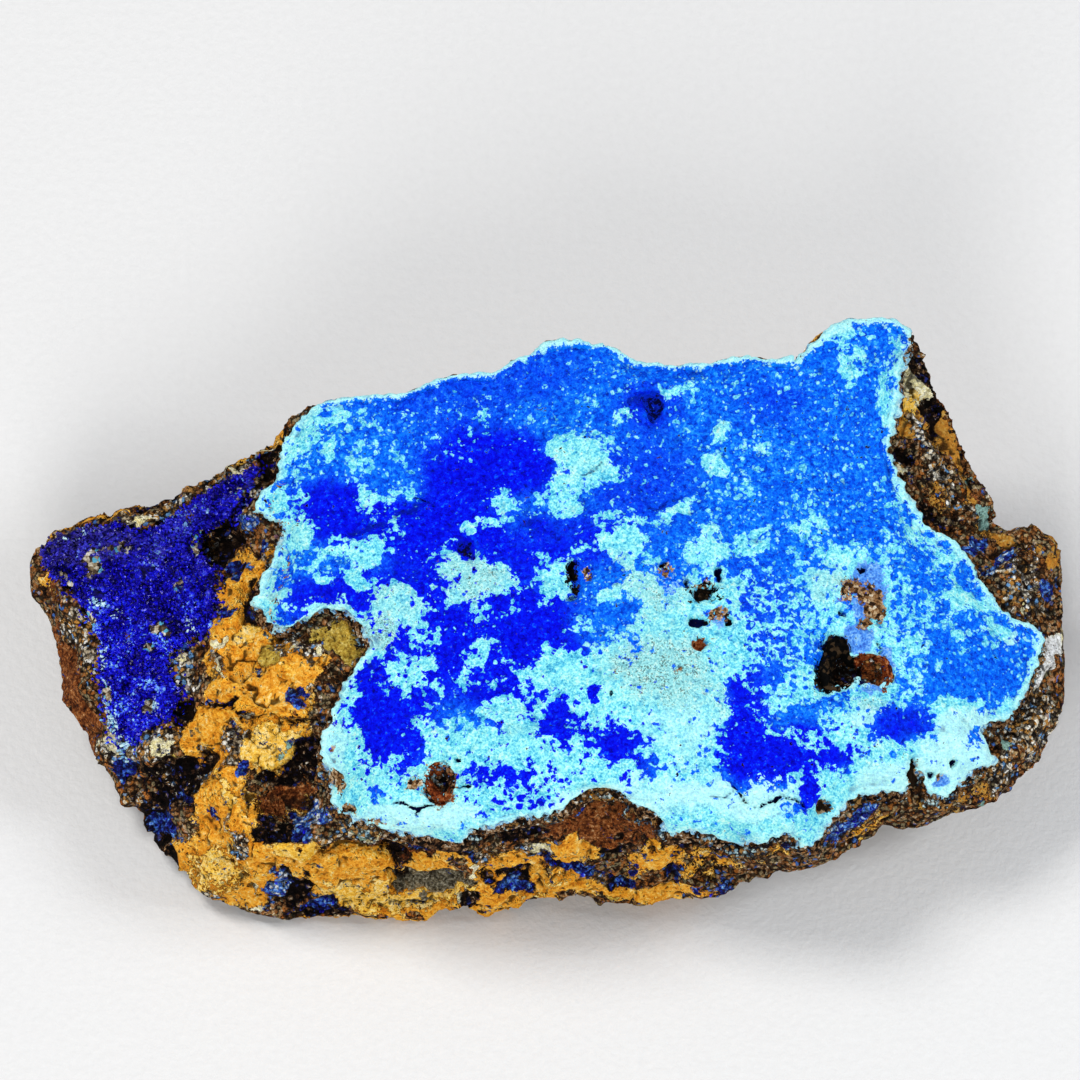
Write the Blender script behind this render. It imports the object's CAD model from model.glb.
"""The finish of a gibbsite specimen: limonite rock, a gibbsite crust and a field of azurite crystals."""

import math

import bpy
import numpy as np
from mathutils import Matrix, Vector, bvhtree, noise


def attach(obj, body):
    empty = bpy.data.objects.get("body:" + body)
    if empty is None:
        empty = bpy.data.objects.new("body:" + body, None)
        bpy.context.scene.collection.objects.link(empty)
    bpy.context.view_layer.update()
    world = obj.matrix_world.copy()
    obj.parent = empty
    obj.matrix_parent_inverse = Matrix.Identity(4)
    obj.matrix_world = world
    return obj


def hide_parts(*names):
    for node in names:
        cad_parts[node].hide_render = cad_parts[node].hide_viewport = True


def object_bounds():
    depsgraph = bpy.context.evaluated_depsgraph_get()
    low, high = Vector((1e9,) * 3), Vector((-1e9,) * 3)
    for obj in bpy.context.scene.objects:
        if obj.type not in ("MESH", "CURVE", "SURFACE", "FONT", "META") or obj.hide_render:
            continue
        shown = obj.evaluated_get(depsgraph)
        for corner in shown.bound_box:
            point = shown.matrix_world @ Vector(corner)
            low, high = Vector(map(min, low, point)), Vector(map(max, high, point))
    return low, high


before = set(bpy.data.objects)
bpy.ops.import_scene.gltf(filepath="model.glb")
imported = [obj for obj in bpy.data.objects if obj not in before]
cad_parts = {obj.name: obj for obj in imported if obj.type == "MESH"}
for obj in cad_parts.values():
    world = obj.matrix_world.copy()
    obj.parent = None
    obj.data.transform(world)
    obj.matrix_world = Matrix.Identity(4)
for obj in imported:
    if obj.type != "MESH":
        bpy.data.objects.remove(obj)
cad_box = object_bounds()

# ---- The table, the lamps and the camera ----
# The specimen lies on its broken underside on a pale matt table, under a wide soft lamp with a smaller one on
# each side, and is looked down on from 60 degrees above the table.

MM = 0.001
face_elevation = math.radians(60)

table_mesh = bpy.data.meshes.new("table")
table_reach = 3.0
table_mesh.from_pydata(
    [(-table_reach, -table_reach, 0), (table_reach, -table_reach, 0), (table_reach, table_reach, 0),
     (-table_reach, table_reach, 0)],
    [],
    [(0, 1, 2, 3)],
)
table = bpy.data.objects.new("table", table_mesh)
bpy.context.scene.collection.objects.link(table)


def lamp(name, place, width, watts, colour):
    """A square soft lamp at a place, turned to the specimen, all in metres."""
    aim = (0, 0, 0.01)
    data = bpy.data.lights.new(name, "AREA")
    data.size = width
    data.energy = watts
    data.color = colour
    thing = bpy.data.objects.new(name, data)
    thing.location = place
    thing.rotation_euler = (Vector(aim) - Vector(place)).to_track_quat("-Z", "Y").to_euler()
    bpy.context.scene.collection.objects.link(thing)


lamp("wide_lamp", (-0.42, 0.2, 0.7), width=0.3, watts=4.0, colour=(1.0, 0.98, 0.95))
lamp("right_lamp", (0.6, 0.0, 0.45), width=0.2, watts=2.7, colour=(0.94, 0.97, 1.0))
lamp("front_lamp", (-0.1, -0.65, 0.4), width=0.3, watts=3.1, colour=(1.0, 0.99, 0.97))

world = bpy.data.worlds.new("room")
world.use_nodes = True
world.node_tree.nodes["Background"].inputs["Color"].default_value = (0.9, 0.93, 1.0, 1.0)
world.node_tree.nodes["Background"].inputs["Strength"].default_value = 0.26
bpy.context.scene.world = world
bpy.context.scene.view_settings.view_transform = "Standard"

# The camera's aim is where its line of sight meets the table, and its field is as wide at the specimen.
aim = Vector((-0.63, 16.38, 0)) * MM
sight = Vector((0, -math.cos(face_elevation), math.sin(face_elevation)))
camera_distance = 2.4
field_width = 103.85 * MM
specimen_middle = Vector((0, 0, 18)) * MM
camera_data = bpy.data.cameras.new("camera")
camera_data.sensor_width = 36.0
camera_data.lens = 36.0 * (camera_distance - (specimen_middle - aim).dot(sight)) / field_width
camera_data.clip_end = 20.0
camera = bpy.data.objects.new("camera", camera_data)
camera.location = aim + sight * camera_distance
camera.rotation_euler = (math.pi / 2 - face_elevation, 0, 0)
bpy.context.scene.collection.objects.link(camera)
bpy.context.scene.camera = camera


class Value:
    """A number that varies over a surface. Python's operators on it add the Math nodes."""

    def __init__(self, finish, socket):
        self.finish = finish
        self.socket = socket

    def maths(self, operation, first, second):
        return self.finish.add("ShaderNodeMath", {"operation": operation}, {0: first, 1: second})

    def __add__(self, other):
        return self.maths("ADD", self, other)

    __radd__ = __add__

    def __sub__(self, other):
        return self.maths("SUBTRACT", self, other)

    def __rsub__(self, other):
        return self.maths("SUBTRACT", other, self)

    def __mul__(self, other):
        return self.maths("MULTIPLY", self, other)

    __rmul__ = __mul__

    def steps(self, low, high):
        """0 under low, 1 over high, and a smooth rise between them."""
        settings = {"interpolation_type": "SMOOTHSTEP"}
        inputs = {"Value": self, "From Min": low, "From Max": high}
        return self.finish.add("ShaderNodeMapRange", settings, inputs)


class Finish:
    """One material as it is built up. add makes any node, and the other methods name the usual ones."""

    def __init__(self, name):
        self.material = bpy.data.materials.new(name)
        self.material.use_nodes = True
        self.tree = self.material.node_tree
        self.surface = self.tree.nodes["Principled BSDF"]
        self.patterns = {}
        coordinates = self.add("ShaderNodeTexCoord", {}, {}, "Object")
        self.place = self.along(coordinates, "SCALE", {"Scale": 1 / MM})

    def add(self, kind, settings, inputs, output=0):
        """A node of a kind, with its settings, then the values or links of its sockets."""
        node = self.tree.nodes.new(kind)
        for name, value in settings.items():
            if name == "stops":
                stops = node.color_ramp.elements
                while len(stops) < len(value):
                    stops.new(1.0)
                for stop, (position, colour) in zip(stops, value):
                    stop.position = position
                    stop.color = (*colour, 1.0)
            else:
                setattr(node, name, value)
        self.feed(node, inputs)
        return Value(self, node.outputs[output])

    def along(self, vector, operation, inputs):
        """A vector changed by an operation, whose other operand is in the inputs."""
        settings = {"operation": operation}
        return self.add("ShaderNodeVectorMath", settings, {0: vector, **inputs}, "Vector")

    def unevenly(self, scale, reach):
        """The place, shifted about by noise so that patterns laid out by it are uneven."""
        inputs = {"Vector": self.place, "Scale": scale, "Detail": 2.0}
        scatter = self.add("ShaderNodeTexNoise", {}, inputs, "Color")
        return self.along(self.place, "ADD", {1: self.along(scatter, "SCALE", {"Scale": reach})})

    def feed(self, node, inputs):
        """Sets or links a node's sockets."""
        for name, value in inputs.items():
            socket = node.inputs[name]
            if isinstance(value, Value):
                self.tree.links.new(value.socket, socket)
            elif isinstance(value, tuple) and socket.type == "RGBA":
                socket.default_value = (*value, 1.0)
            else:
                socket.default_value = value

    def field(self, name):
        """A number kept at each point of the mesh."""
        return self.add("ShaderNodeAttribute", {"attribute_name": name}, {}, "Fac")

    def clouds(self, size, detail=2.0, roughness=0.5, place=None, distortion=0.0):
        """Soft noise with features of a size in millimetres, from about -1 to 1."""
        inputs = {
            "Vector": place or self.place,
            "Scale": 1 / size,
            "Detail": detail,
            "Roughness": roughness,
            "Distortion": distortion,
        }
        return (self.add("ShaderNodeTexNoise", {}, inputs, "Fac") - 0.5) * 4

    def grains(self, size, output="Distance", place=None):
        """A pattern of packed grains of a size in millimetres. One node serves each size and place."""
        if (size, place) not in self.patterns:
            inputs = {"Vector": place or self.place, "Scale": 1 / size}
            self.patterns[size, place] = self.add("ShaderNodeTexVoronoi", {}, inputs)
        return Value(self, self.patterns[size, place].socket.node.outputs[output])

    def channel(self, colours, name):
        """One channel of a colour, as a number."""
        return self.add("ShaderNodeSeparateColor", {}, {"Color": colours}, name)

    def spots(self, size, share, radius, place=None):
        """Round spots, one in a share of the cells of a size in millimetres: 1 inside them and 0 outside."""
        chance = self.channel(self.grains(size, "Color", place=place), "Red")
        return (chance.steps(1 - share, 1.0) * radius - self.grains(size, place=place)).steps(0.0, 0.12)

    def ramp(self, value, stops):
        """A colour that runs through stops of (value, colour)."""
        return self.add("ShaderNodeValToRGB", {"stops": stops}, {"Fac": value}, "Color")

    def mix(self, share, first, second, blend="MIX"):
        """The first colour at share 0 and the second at share 1."""
        settings = {"data_type": "RGBA", "blend_type": blend}
        return self.add("ShaderNodeMix", settings, {0: share, 6: first, 7: second}, 2)

    def bump(self, height, distance):
        """A normal from a height that stands for a distance in millimetres."""
        return self.add("ShaderNodeBump", {}, {"Height": height, "Distance": distance * MM}, "Normal")

    def done(self, piece, **inputs):
        """Wires the surface and puts the material on a piece."""
        self.feed(self.surface, {name.replace("_", " "): value for name, value in inputs.items()})
        piece.data.materials.clear()
        piece.data.materials.append(self.material)


table_finish = Finish("table_card")
card_fibres = table_finish.clouds(0.8, 2.0, 0.6)
table_finish.done(
    table,
    Base_Color=table_finish.ramp(card_fibres * 0.25 + 0.5, [(0, (0.7, 0.7, 0.7)), (1, (0.76, 0.76, 0.76))]),
    Roughness=0.9,
    Normal=table_finish.bump(card_fibres, 0.02),
)

# ---- The limonite ----
# The rock that carries everything: brown and ochre limonite, earthy in the ochre parts and granular in the
# rest, with dark recesses, pale grains, and layers that follow the broken edges at the front and the right.

drawing_shift = Vector((-0.05, 7.94, 0.0))


def drawn(points):
    """Where points in millimetres are seen on the face plane, as rows of (right, up)."""
    right = points[:, 0] - drawing_shift.x
    up = (points[:, 1] - drawing_shift.y) * math.sin(face_elevation) + points[:, 2] * math.cos(face_elevation)
    return np.stack([right, up], axis=1)


def patches(places, ovals):
    """The sum of soft ovals over drawn places: right, up, half length, half width, a turn in degrees where
    there is one, and strength."""
    total = np.zeros(len(places))
    for right, up, length, width, *turned, strength in ovals:
        turn = math.radians(sum(turned))
        cosine = math.cos(turn)
        sine = math.sin(turn)
        x = places[:, 0] - right
        y = places[:, 1] - up
        reach = ((x * cosine + y * sine) / length) ** 2 + ((y * cosine - x * sine) / width) ** 2
        total += strength * np.exp(-(reach**2))
    return total


def strokes(places, lines):
    """The sum of soft strokes over drawn places: height, half width, and the line as (right, up) points."""
    total = np.zeros(len(places))
    for height, half_width, line in lines:
        nearest = np.full(len(places), np.inf)
        for start, end in zip(line, line[1:]):
            side = np.subtract(end, start)
            share = np.clip((places - start) @ side / (side @ side), 0, 1)
            nearest = np.minimum(nearest, np.linalg.norm(places - start - share[:, None] * side, axis=1))
        total += height * np.exp(-((nearest / half_width) ** 2))
    return total


def rough(points, size, octaves=3, seed=0.0):
    """Fractal roughness of a size in millimetres at each point, from about -1 to 1."""
    shift = Vector((seed, 2 * seed, -seed))
    return np.array([noise.fractal(Vector(p) / size + shift, 1.0, 2.0, octaves) for p in points])


def crags(points, size, seed=0.0):
    """Broken facets of a size at each point: 0 on their edges, about 1 in their middles."""
    shift = Vector((seed, 2 * seed, -seed))
    found = np.array([noise.voronoi(Vector(p) / size + shift)[0][:2] for p in points])
    return found[:, 1] - found[:, 0]


def facets(points, size, seed=0.0):
    """Flat broken faces of a size in millimetres, each leaning its own way, from about -0.5 to 0.5 high."""
    shift = Vector((seed, 2 * seed, -seed))
    level = Vector((0.5, 0.5, 0.5))
    heights = []
    for point in points:
        place = Vector(point) / size + shift
        middle = noise.voronoi(place)[1][0]
        heights.append((place - middle).dot(noise.cell_vector(middle * 37.0) - level) * 1.4)
    return np.array(heights)


def wandering(places, points, reach, size, seed):
    """Places shifted about by noise, so that what is laid out by them has uneven edges."""
    shifts = [rough(points, size, 3, seed), rough(points, size, 3, seed + 7.5)]
    return places + reach * np.stack(shifts, axis=1)


def points_of(mesh, name="co"):
    """A mesh's points, or with the name normal its normals, as rows."""
    values = np.zeros(len(mesh.vertices) * 3)
    mesh.vertices.foreach_get(name, values)
    return values.reshape(-1, 3)


def applied(piece):
    """Applies a piece's modifiers to its mesh."""
    graph = bpy.context.evaluated_depsgraph_get()
    mesh = bpy.data.meshes.new_from_object(piece.evaluated_get(graph))
    piece.modifiers.clear()
    piece.data = mesh


def fine_copy(node, name, voxel, passes, growth):
    """A closed copy of a CAD solid, fine enough to carve, with its facets worn smooth. It is first grown by
    what the wear takes off its edges."""
    piece = bpy.data.objects.new(name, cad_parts[node].data.copy())
    piece.data.materials.clear()
    bpy.context.scene.collection.objects.link(piece)
    piece.modifiers.new("weld", "WELD").merge_threshold = 0.001 * MM
    finer = piece.modifiers.new("finer", "SUBSURF")
    finer.subdivision_type = "SIMPLE"
    finer.levels = 2
    finer.render_levels = 2
    grow_out = piece.modifiers.new("growth", "DISPLACE")
    grow_out.strength = growth * MM
    grow_out.mid_level = 0.0
    remesh = piece.modifiers.new("remesh", "REMESH")
    remesh.mode = "VOXEL"
    remesh.voxel_size = voxel * MM
    wear = piece.modifiers.new("wear", "SMOOTH")
    wear.factor = 0.5
    wear.iterations = passes
    applied(piece)
    return piece


def tree_of(points, polygons):
    """What finds the nearest place on some polygons of a mesh, or the first along a ray."""
    return bvhtree.BVHTree.FromPolygons([Vector(p) for p in points], [tuple(f.vertices) for f in polygons])


def distance_to(tree, points):
    """How far each of the points is from the polygons of a tree."""
    return np.array([tree.find_nearest(Vector(p))[3] for p in points])


def room_under(piece, points, normals):
    """How thick a piece is under each of its points, in millimetres."""
    tree = tree_of(points, piece.data.polygons)
    farthest = 9.0
    room = np.full(len(points), farthest)
    for number, (point, normal) in enumerate(zip(points, normals)):
        inward = -Vector(normal)
        distance = tree.ray_cast(Vector(point) + inward * 0.05, inward, farthest)[3]
        if distance is not None:
            room[number] = distance
    return room


def eased(piece, points, passes):
    """A piece's points, each moved to the middle of its neighbours a number of times."""
    ends = np.zeros(len(piece.data.edges) * 2, np.int32)
    piece.data.edges.foreach_get("vertices", ends)
    first, second = ends.reshape(-1, 2).T
    size = len(points)
    count = np.bincount(first, minlength=size) + np.bincount(second, minlength=size)
    around = points.copy()
    for _ in range(passes):
        for axis in range(3):
            column = around[:, axis]
            total = np.bincount(first, column[second], size) + np.bincount(second, column[first], size)
            around[:, axis] = total / count
    return around


def hollows(piece, points, passes):
    """How hollow a piece is round each of its points in millimetres: over 0 in creases, under 0 on ridges."""
    return ((eased(piece, points, passes) - points) * points_of(piece.data, "normal")).sum(axis=1)


def thin_out(piece, hidden, ratio):
    """Thins the mesh where hidden, a share from 0 to 1 at each point, says that nothing shows."""
    group = piece.vertex_groups.new(name="hidden")
    for index in np.flatnonzero(hidden > 0.5):
        group.add([int(index)], 1.0, "REPLACE")
    thinner = piece.modifiers.new("thin", "DECIMATE")
    thinner.ratio = ratio
    thinner.vertex_group = "hidden"
    applied(piece)
    piece.vertex_groups.clear()


def carve(piece, points):
    """Moves a piece's points to new places in millimetres, eased back from the sides of the solids' box and
    kept off the table."""
    low = np.array(cad_box[0]) / MM
    high = np.array(cad_box[1]) / MM
    ease = 0.8
    over = np.maximum(points - (high - ease), 0)
    under = np.maximum((low + ease) - points, 0)
    under[:, 2] = 0
    inside = points - over + ease * np.tanh(over / ease) + under - ease * np.tanh(under / ease)
    inside = np.clip(inside, low, high) * MM
    piece.data.vertices.foreach_set("co", inside.ravel())
    piece.data.update()
    piece.data.shade_smooth()


def keep_field(piece, name, values):
    """Keeps a number at each point of a piece, for its finish."""
    attribute = piece.data.attributes.new(name, "FLOAT", "POINT")
    attribute.data.foreach_set("value", np.asarray(values, np.float32))


crust_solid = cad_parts["gibbsite_crust"].data
crust_corners = [v.co / MM for v in crust_solid.vertices]
crust_tree = tree_of(crust_corners, crust_solid.polygons)
crust_tilt = math.radians(12)
crust_up = Vector((0.0, -math.sin(crust_tilt), math.cos(crust_tilt)))
# The crust's broken edge is the wall round it, which stands nearly square to its face.
wall_tree = tree_of(crust_corners, [p for p in crust_solid.polygons if abs(p.normal.dot(crust_up)) < 0.35])

rock_growth = 0.4
rock = fine_copy("limonite_matrix", "limonite_rock", voxel=0.34, passes=5, growth=rock_growth)
rock_points = points_of(rock.data) / MM


def under_crust(points, margin):
    """Which points lie under the crust, at least a margin in from its edge."""
    crust_reach = 3.5
    covered = [crust_tree.ray_cast(Vector(p), crust_up, crust_reach)[0] is not None for p in points]
    return np.array(covered) & (distance_to(wall_tree, points) > margin)


resting_height = 0.35
hidden_margin = 2.2
resting = rock_points[:, 2] < resting_height
thin_out(rock, under_crust(rock_points, hidden_margin) | resting, ratio=0.62)

rock_points = points_of(rock.data) / MM
rock_normals = points_of(rock.data, "normal")
rock_places = wandering(drawn(rock_points), rock_points, reach=1.3, size=2.4, seed=31.0)
# How much a point belongs to the side that is seen from above the front, from 0 to 1.
seen = np.clip((rock_normals @ np.array(sight) + 0.05) / 0.3, 0, 1)

ochre = patches(rock_places, [
    (-30.5, -3, 6.5, 1.9, 88, 1.2), (-26.4, -5.6, 5.2, 4.2, 1.3), (-28.4, 3.6, 4.8, 1.2, 52, 1),
    (-32.8, -10.8, 3, 2.6, 20, 1.2), (-26.4, -12.6, 5, 2.8, 1.3), (-31.2, -18, 6.2, 2.6, -78, 1.2),
    (-31, -24, 4.4, 4.6, 1.3), (-25.8, -17.6, 3.8, 1.6, 8, 0.9), (-24.4, -22.6, 3, 1.4, 5, 1.1),
    (-27, -24.4, 3, 2.2, 0.9), (-31.8, -14.2, 2.4, 2, 0.9), (-22.6, -25.4, 4, 1.6, 20, 0.9),
    (-19.5, -24.6, 6.5, 2.8, 1.2), (-12.5, -27.2, 6, 1.6, 1.2), (-11, -23.4, 4.4, 0.7, 4, 0.9),
    (-5.4, -25, 2.6, 1, -45, 0.9), (-4.6, -27.4, 3.2, 1.6, 8, 1.2), (0.5, -26, 4.6, 0.9, 12, 1.1),
    (5.6, -26.6, 3.2, 0.9, -8, 1), (12.4, -26.6, 4.4, 0.8, 6, 1), (10, -23.2, 3.2, 1.6, 30, 0.8),
    (-2, -23.6, 4.4, 1.8, 0.75), (2.6, -22.6, 3.8, 1.1, 0.9), (15.5, -23.4, 3.4, 1.8, 0.6),
    (5.4, -17.4, 1.2, 0.9, 0.8), (35.4, 19.2, 2.2, 1.6, -60, 0.7), (38.2, 11.4, 2, 1.4, -40, 0.6),
    (42.6, 8.4, 2.4, 1, -30, 0.6), (46, -8, 2, 3.4, 20, 0.5), (40.6, -17, 3, 1, 25, 0.6),
    (-47.6, 5.8, 1, 1.6, -30, 0.7), (-46.4, -6, 1, 3, 10, 0.5), (-44.4, -11, 1.4, 2.4, 25, 0.5),
    (34.5, 18.2, 1, 0.8, 0.9), (38.4, 18, 3, 0.7, -62, 0.9), (40.4, 14.4, 2.6, 0.6, -62, 0.8),
    (43.8, 7, 1.4, 0.7, -40, 0.9), (41.2, 11.6, 1.2, 0.9, 0.7), (46.8, 6.2, 0.9, 0.9, 0.8),
    (49.2, 5.6, 0.7, 1.3, 0.8), (-44.4, 9.3, 1.8, 0.7, 20, 0.9), (-41.4, 10.2, 2.2, 0.6, 8, 0.6),
    (-48.3, 3.8, 1.2, 1.8, 20, 0.6), (22, -22.4, 1.6, 0.9, 0.6), (26.5, -21.5, 1.2, 0.8, 0.5),
    (37, -17.9, 2.4, 0.8, 10, 0.5), (-23, -5.2, 1.6, 1.2, 0.5), (36.6, 22.6, 4.4, 0.5, -68, 1.2),
    (38, 17.6, 3.4, 0.5, -62, 0.9), (-45.6, -8.6, 1.8, 4.6, 14, -0.9), (31, -20.4, 3, 0.9, 25, 0.5),
    (33.8, 12.6, 0.8, 0.6, 0.7), (36, 8.6, 0.8, 0.6, 0.6), (45.4, 3.2, 0.8, 0.6, 0.7),
    (39.4, 5.8, 0.6, 0.5, 0.6), (-29, 4.4, 1.2, 2.6, -30, 0.8), (-30.6, -5.6, 0.9, 1.8, -1),
    (-25.8, -17.4, 3, 1.2, 8, -0.9), (-31.4, -20.6, 0.7, 1.2, -0.5),
])
yellow = patches(rock_places, [
    (-26.2, -12.6, 4.4, 2.4, 0.9), (-24, -22.3, 2.4, 1, 5, 1.1), (-31.8, -24.6, 3.4, 3.2, 0.6),
    (-28.9, -1.4, 0.9, 1, 1), (-14, -27, 7, 1.4, 0.7), (-20, -26.4, 3, 0.8, 0.6),
    (-30.4, -18.4, 4.2, 0.8, -80, 0.7), (-9, -25.9, 2.6, 0.5, -12, 0.9), (35.6, 21, 1.6, 0.9, -40, 1.2),
    (35.4, 19.4, 0.8, 1, 0.8), (-19.4, -2.3, 2, 1.8, 0.5), (0.5, -26, 4.6, 0.5, 12, 0.5),
])
olive = patches(rock_places, [
    (-19.3, -2.4, 2.2, 1.9, 1.3), (-26.6, -3.6, 1.5, 1.2, 10, 1), (-22.6, -1.6, 1.6, 0.8, 0.6),
    (-8.8, -25.2, 2.4, 0.6, -20, 0.5), (6.2, -27.2, 1.2, 0.5, 0.7), (-36, -13.4, 0.8, 0.6, 0.8),
])
pale = patches(rock_places, [
    (-39.6, 9.4, 2.6, 0.9, 8, 0.9), (-36.6, 9.9, 2.4, 1, 20, 1), (-33.6, 12.4, 3, 0.7, 35, 0.9),
    (-30, 14.3, 2.8, 0.8, 32, 1), (-27.3, 16, 2, 0.7, 50, 1.1), (-43.6, 5.2, 1, 1.5, 1.2),
    (-35.6, -3.2, 2, 2.2, 0.9), (-35.6, -6, 2.2, 1.3, 1.1), (-37.6, -11.9, 2.4, 1.6, 20, 1.3),
    (-42, -9.4, 0.8, 2.6, 5, 1), (-41.2, -12.8, 2, 1.2, -45, 1.2), (-45.4, -1.2, 2.2, 1.5, -40, 0.9),
    (-43.6, -5, 0.8, 2.2, 10, 0.9), (-42.5, -0.9, 1.2, 0.5, -50, 1.4), (-43.2, -3.9, 0.7, 0.8, 1.1),
    (-24, -3.2, 3, 1, -10, 0.6), (-22.4, -3.6, 0.7, 0.9, 1), (-22.2, -7.2, 1, 0.8, 0.8),
    (-31, -4.6, 0.9, 1.5, 0.8), (-30.8, -12, 2.8, 0.7, 35, 0.7), (-29, -22.6, 1, 1, 0.6),
    (-17.5, -21, 5, 0.6, -3, 0.9), (-1.2, -22.9, 1.5, 0.9, -35, 1.2), (-6.4, -23, 0.8, 1.6, 35, 0.8),
    (38.4, 13, 3.2, 1.4, -58, 0.6), (45.6, 3.6, 2.8, 3, 0.6), (47.6, 0.8, 1.6, 0.8, -30, 0.8),
    (48.3, -4.7, 3, 0.9, 62, 1.6), (46.4, -10.2, 2.2, 3.4, -30, 1), (43, -14.4, 1.6, 1.2, 30, 0.6),
    (-45.8, -8.8, 1.6, 4, 14, -0.8), (-25.4, 10.4, 2, 0.7, 10, 0.6), (-36.6, -16.8, 0.8, 2.6, 35, 0.5),
    (-39.4, -17, 1, 0.6, -45, 1.1), (-37, -21.6, 1.6, 0.3, -60, 1.1), (-32.4, 6.6, 0.7, 0.9, 0.9),
    (-32.3, -26.6, 1.2, 0.7, 0.9), (41.2, -12.6, 1, 0.8, 0.4), (-8.3, -27.4, 0.4, 0.9, 1),
    (34, 14.3, 0.8, 0.5, 0.8), (41.8, -13.6, 0.6, 0.5, 0.3), (37.4, 15.6, 4, 0.4, -60, 0.9),
    (38.8, 12.6, 3.6, 0.4, -58, 0.9), (36, 18, 3, 0.4, -62, 0.8), (39.8, 10.6, 2.6, 0.4, -50, 0.8),
    (44.6, 1.8, 1.2, 0.8, 0.7), (42.6, 4.4, 1.2, 0.5, 40, 0.6), (-28.6, 9.8, 2, 1, 20, 1),
    (-27.4, 6.2, 1.2, 0.8, 0.8), (-28, 11.8, 1, 0.7, 0.7), (-24.6, -1.6, 1.6, 0.6, -20, 0.8),
    (-19, -19.6, 1.4, 0.8, 0.9), (-20.6, -16.8, 0.8, 1, 0.7), (47.4, -9, 1.2, 0.6, 60, 0.6),
    (43, -15.6, 1.6, 0.6, 40, 0.6), (-30.4, -19.2, 0.8, 1.2, 0.7), (-29.2, -21.8, 1, 1.4, 20, 0.8),
    (-33.6, -11.6, 0.6, 0.6, 0.6), (-30.6, -13.4, 1, 1.6, -20, 0.8), (-33.4, -15.6, 1.2, 0.8, 0.7),
])
dark = patches(rock_places, [
    (-31, 7.4, 2.2, 2.2, 1.3), (-29.6, 11, 2.6, 0.9, 48, 0.9), (-26.6, 14.4, 1, 1.5, 0.9),
    (-25.6, 16.8, 0.9, 1.4, -30, 1.1), (-35.4, -8.8, 1, 2.2, 10, 1), (-34.6, -14.6, 3.2, 1.2, 1),
    (-36.4, -16.8, 2.6, 1.8, -55, 1.1), (-36.6, -20.6, 3.4, 1.2, -55, 1.1), (-46, 3.4, 2.4, 0.6, -42, 1.3),
    (-44, 0.2, 0.8, 1.8, 1.1), (-24.4, -15.2, 3.2, 0.9, 12, 1.4), (-22.6, -12.8, 1, 2.2, -20, 1.2),
    (-26.4, -20.8, 2.2, 1.4, 1.2), (-24, -26, 1.8, 1.5, 20, 1.2), (-21.6, -28.2, 3.4, 0.7, 10, 1.3),
    (-9.8, -21.9, 4.8, 0.7, -14, 1.1), (-14.6, -22.7, 1.8, 0.8, 0.8), (-3.6, -20.4, 4.2, 0.9, 8, 1.1),
    (1.4, -17.6, 1.2, 0.6, 40, 0.7), (12.4, -21.4, 3.4, 0.8, -5, 1.1), (6.6, -22.4, 1.2, 1, 0.9),
    (2.6, -24.2, 3, 0.6, -4, 1.2), (-3.2, -25.5, 2.2, 0.9, -5, 1.2), (7.2, -25.8, 1.5, 0.8, 1.1),
    (12.6, -24.4, 1.3, 1.5, 1.1), (35.5, 24, 0.9, 1.6, 25, 1.5), (37.2, 20.6, 0.5, 2.4, 20, 1.3),
    (34, 15.6, 0.9, 1, 1.1), (-7.2, -27.7, 1.3, 0.8, 1.4), (-15, -24.6, 3.2, 0.4, 10, 1),
    (17.8, -21.8, 4, 0.7, 0.9), (37.4, 9.4, 3.4, 0.7, -42, 0.9), (46, 5, 2.6, 2.2, 0.4),
    (-30.2, -8.9, 2, 0.4, 10, 1.2), (35.6, -15.4, 0.8, 1.8, 0.6), (27.9, -4.6, 2, 2.8, 2),
    (-10.2, -16.2, 0.9, 1.4, 0.9), (-28.4, 1.2, 0.6, 2.4, -15, 0.9), (40, -14.4, 2.2, 0.5, 30, 0.5),
    (-10.4, -15.2, 0.9, 0.6, 0.8), (35.2, 23.8, 1.4, 0.7, -60, 1.5), (37.4, 18.6, 0.4, 2.4, 22, 1.2),
    (33.4, 17.4, 0.6, 1.4, 0.9), (35.8, 5.8, 0.8, 1.4, 30, 0.8), (-36.2, -14.6, 2.4, 1.4, -40, 0.8),
])
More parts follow.
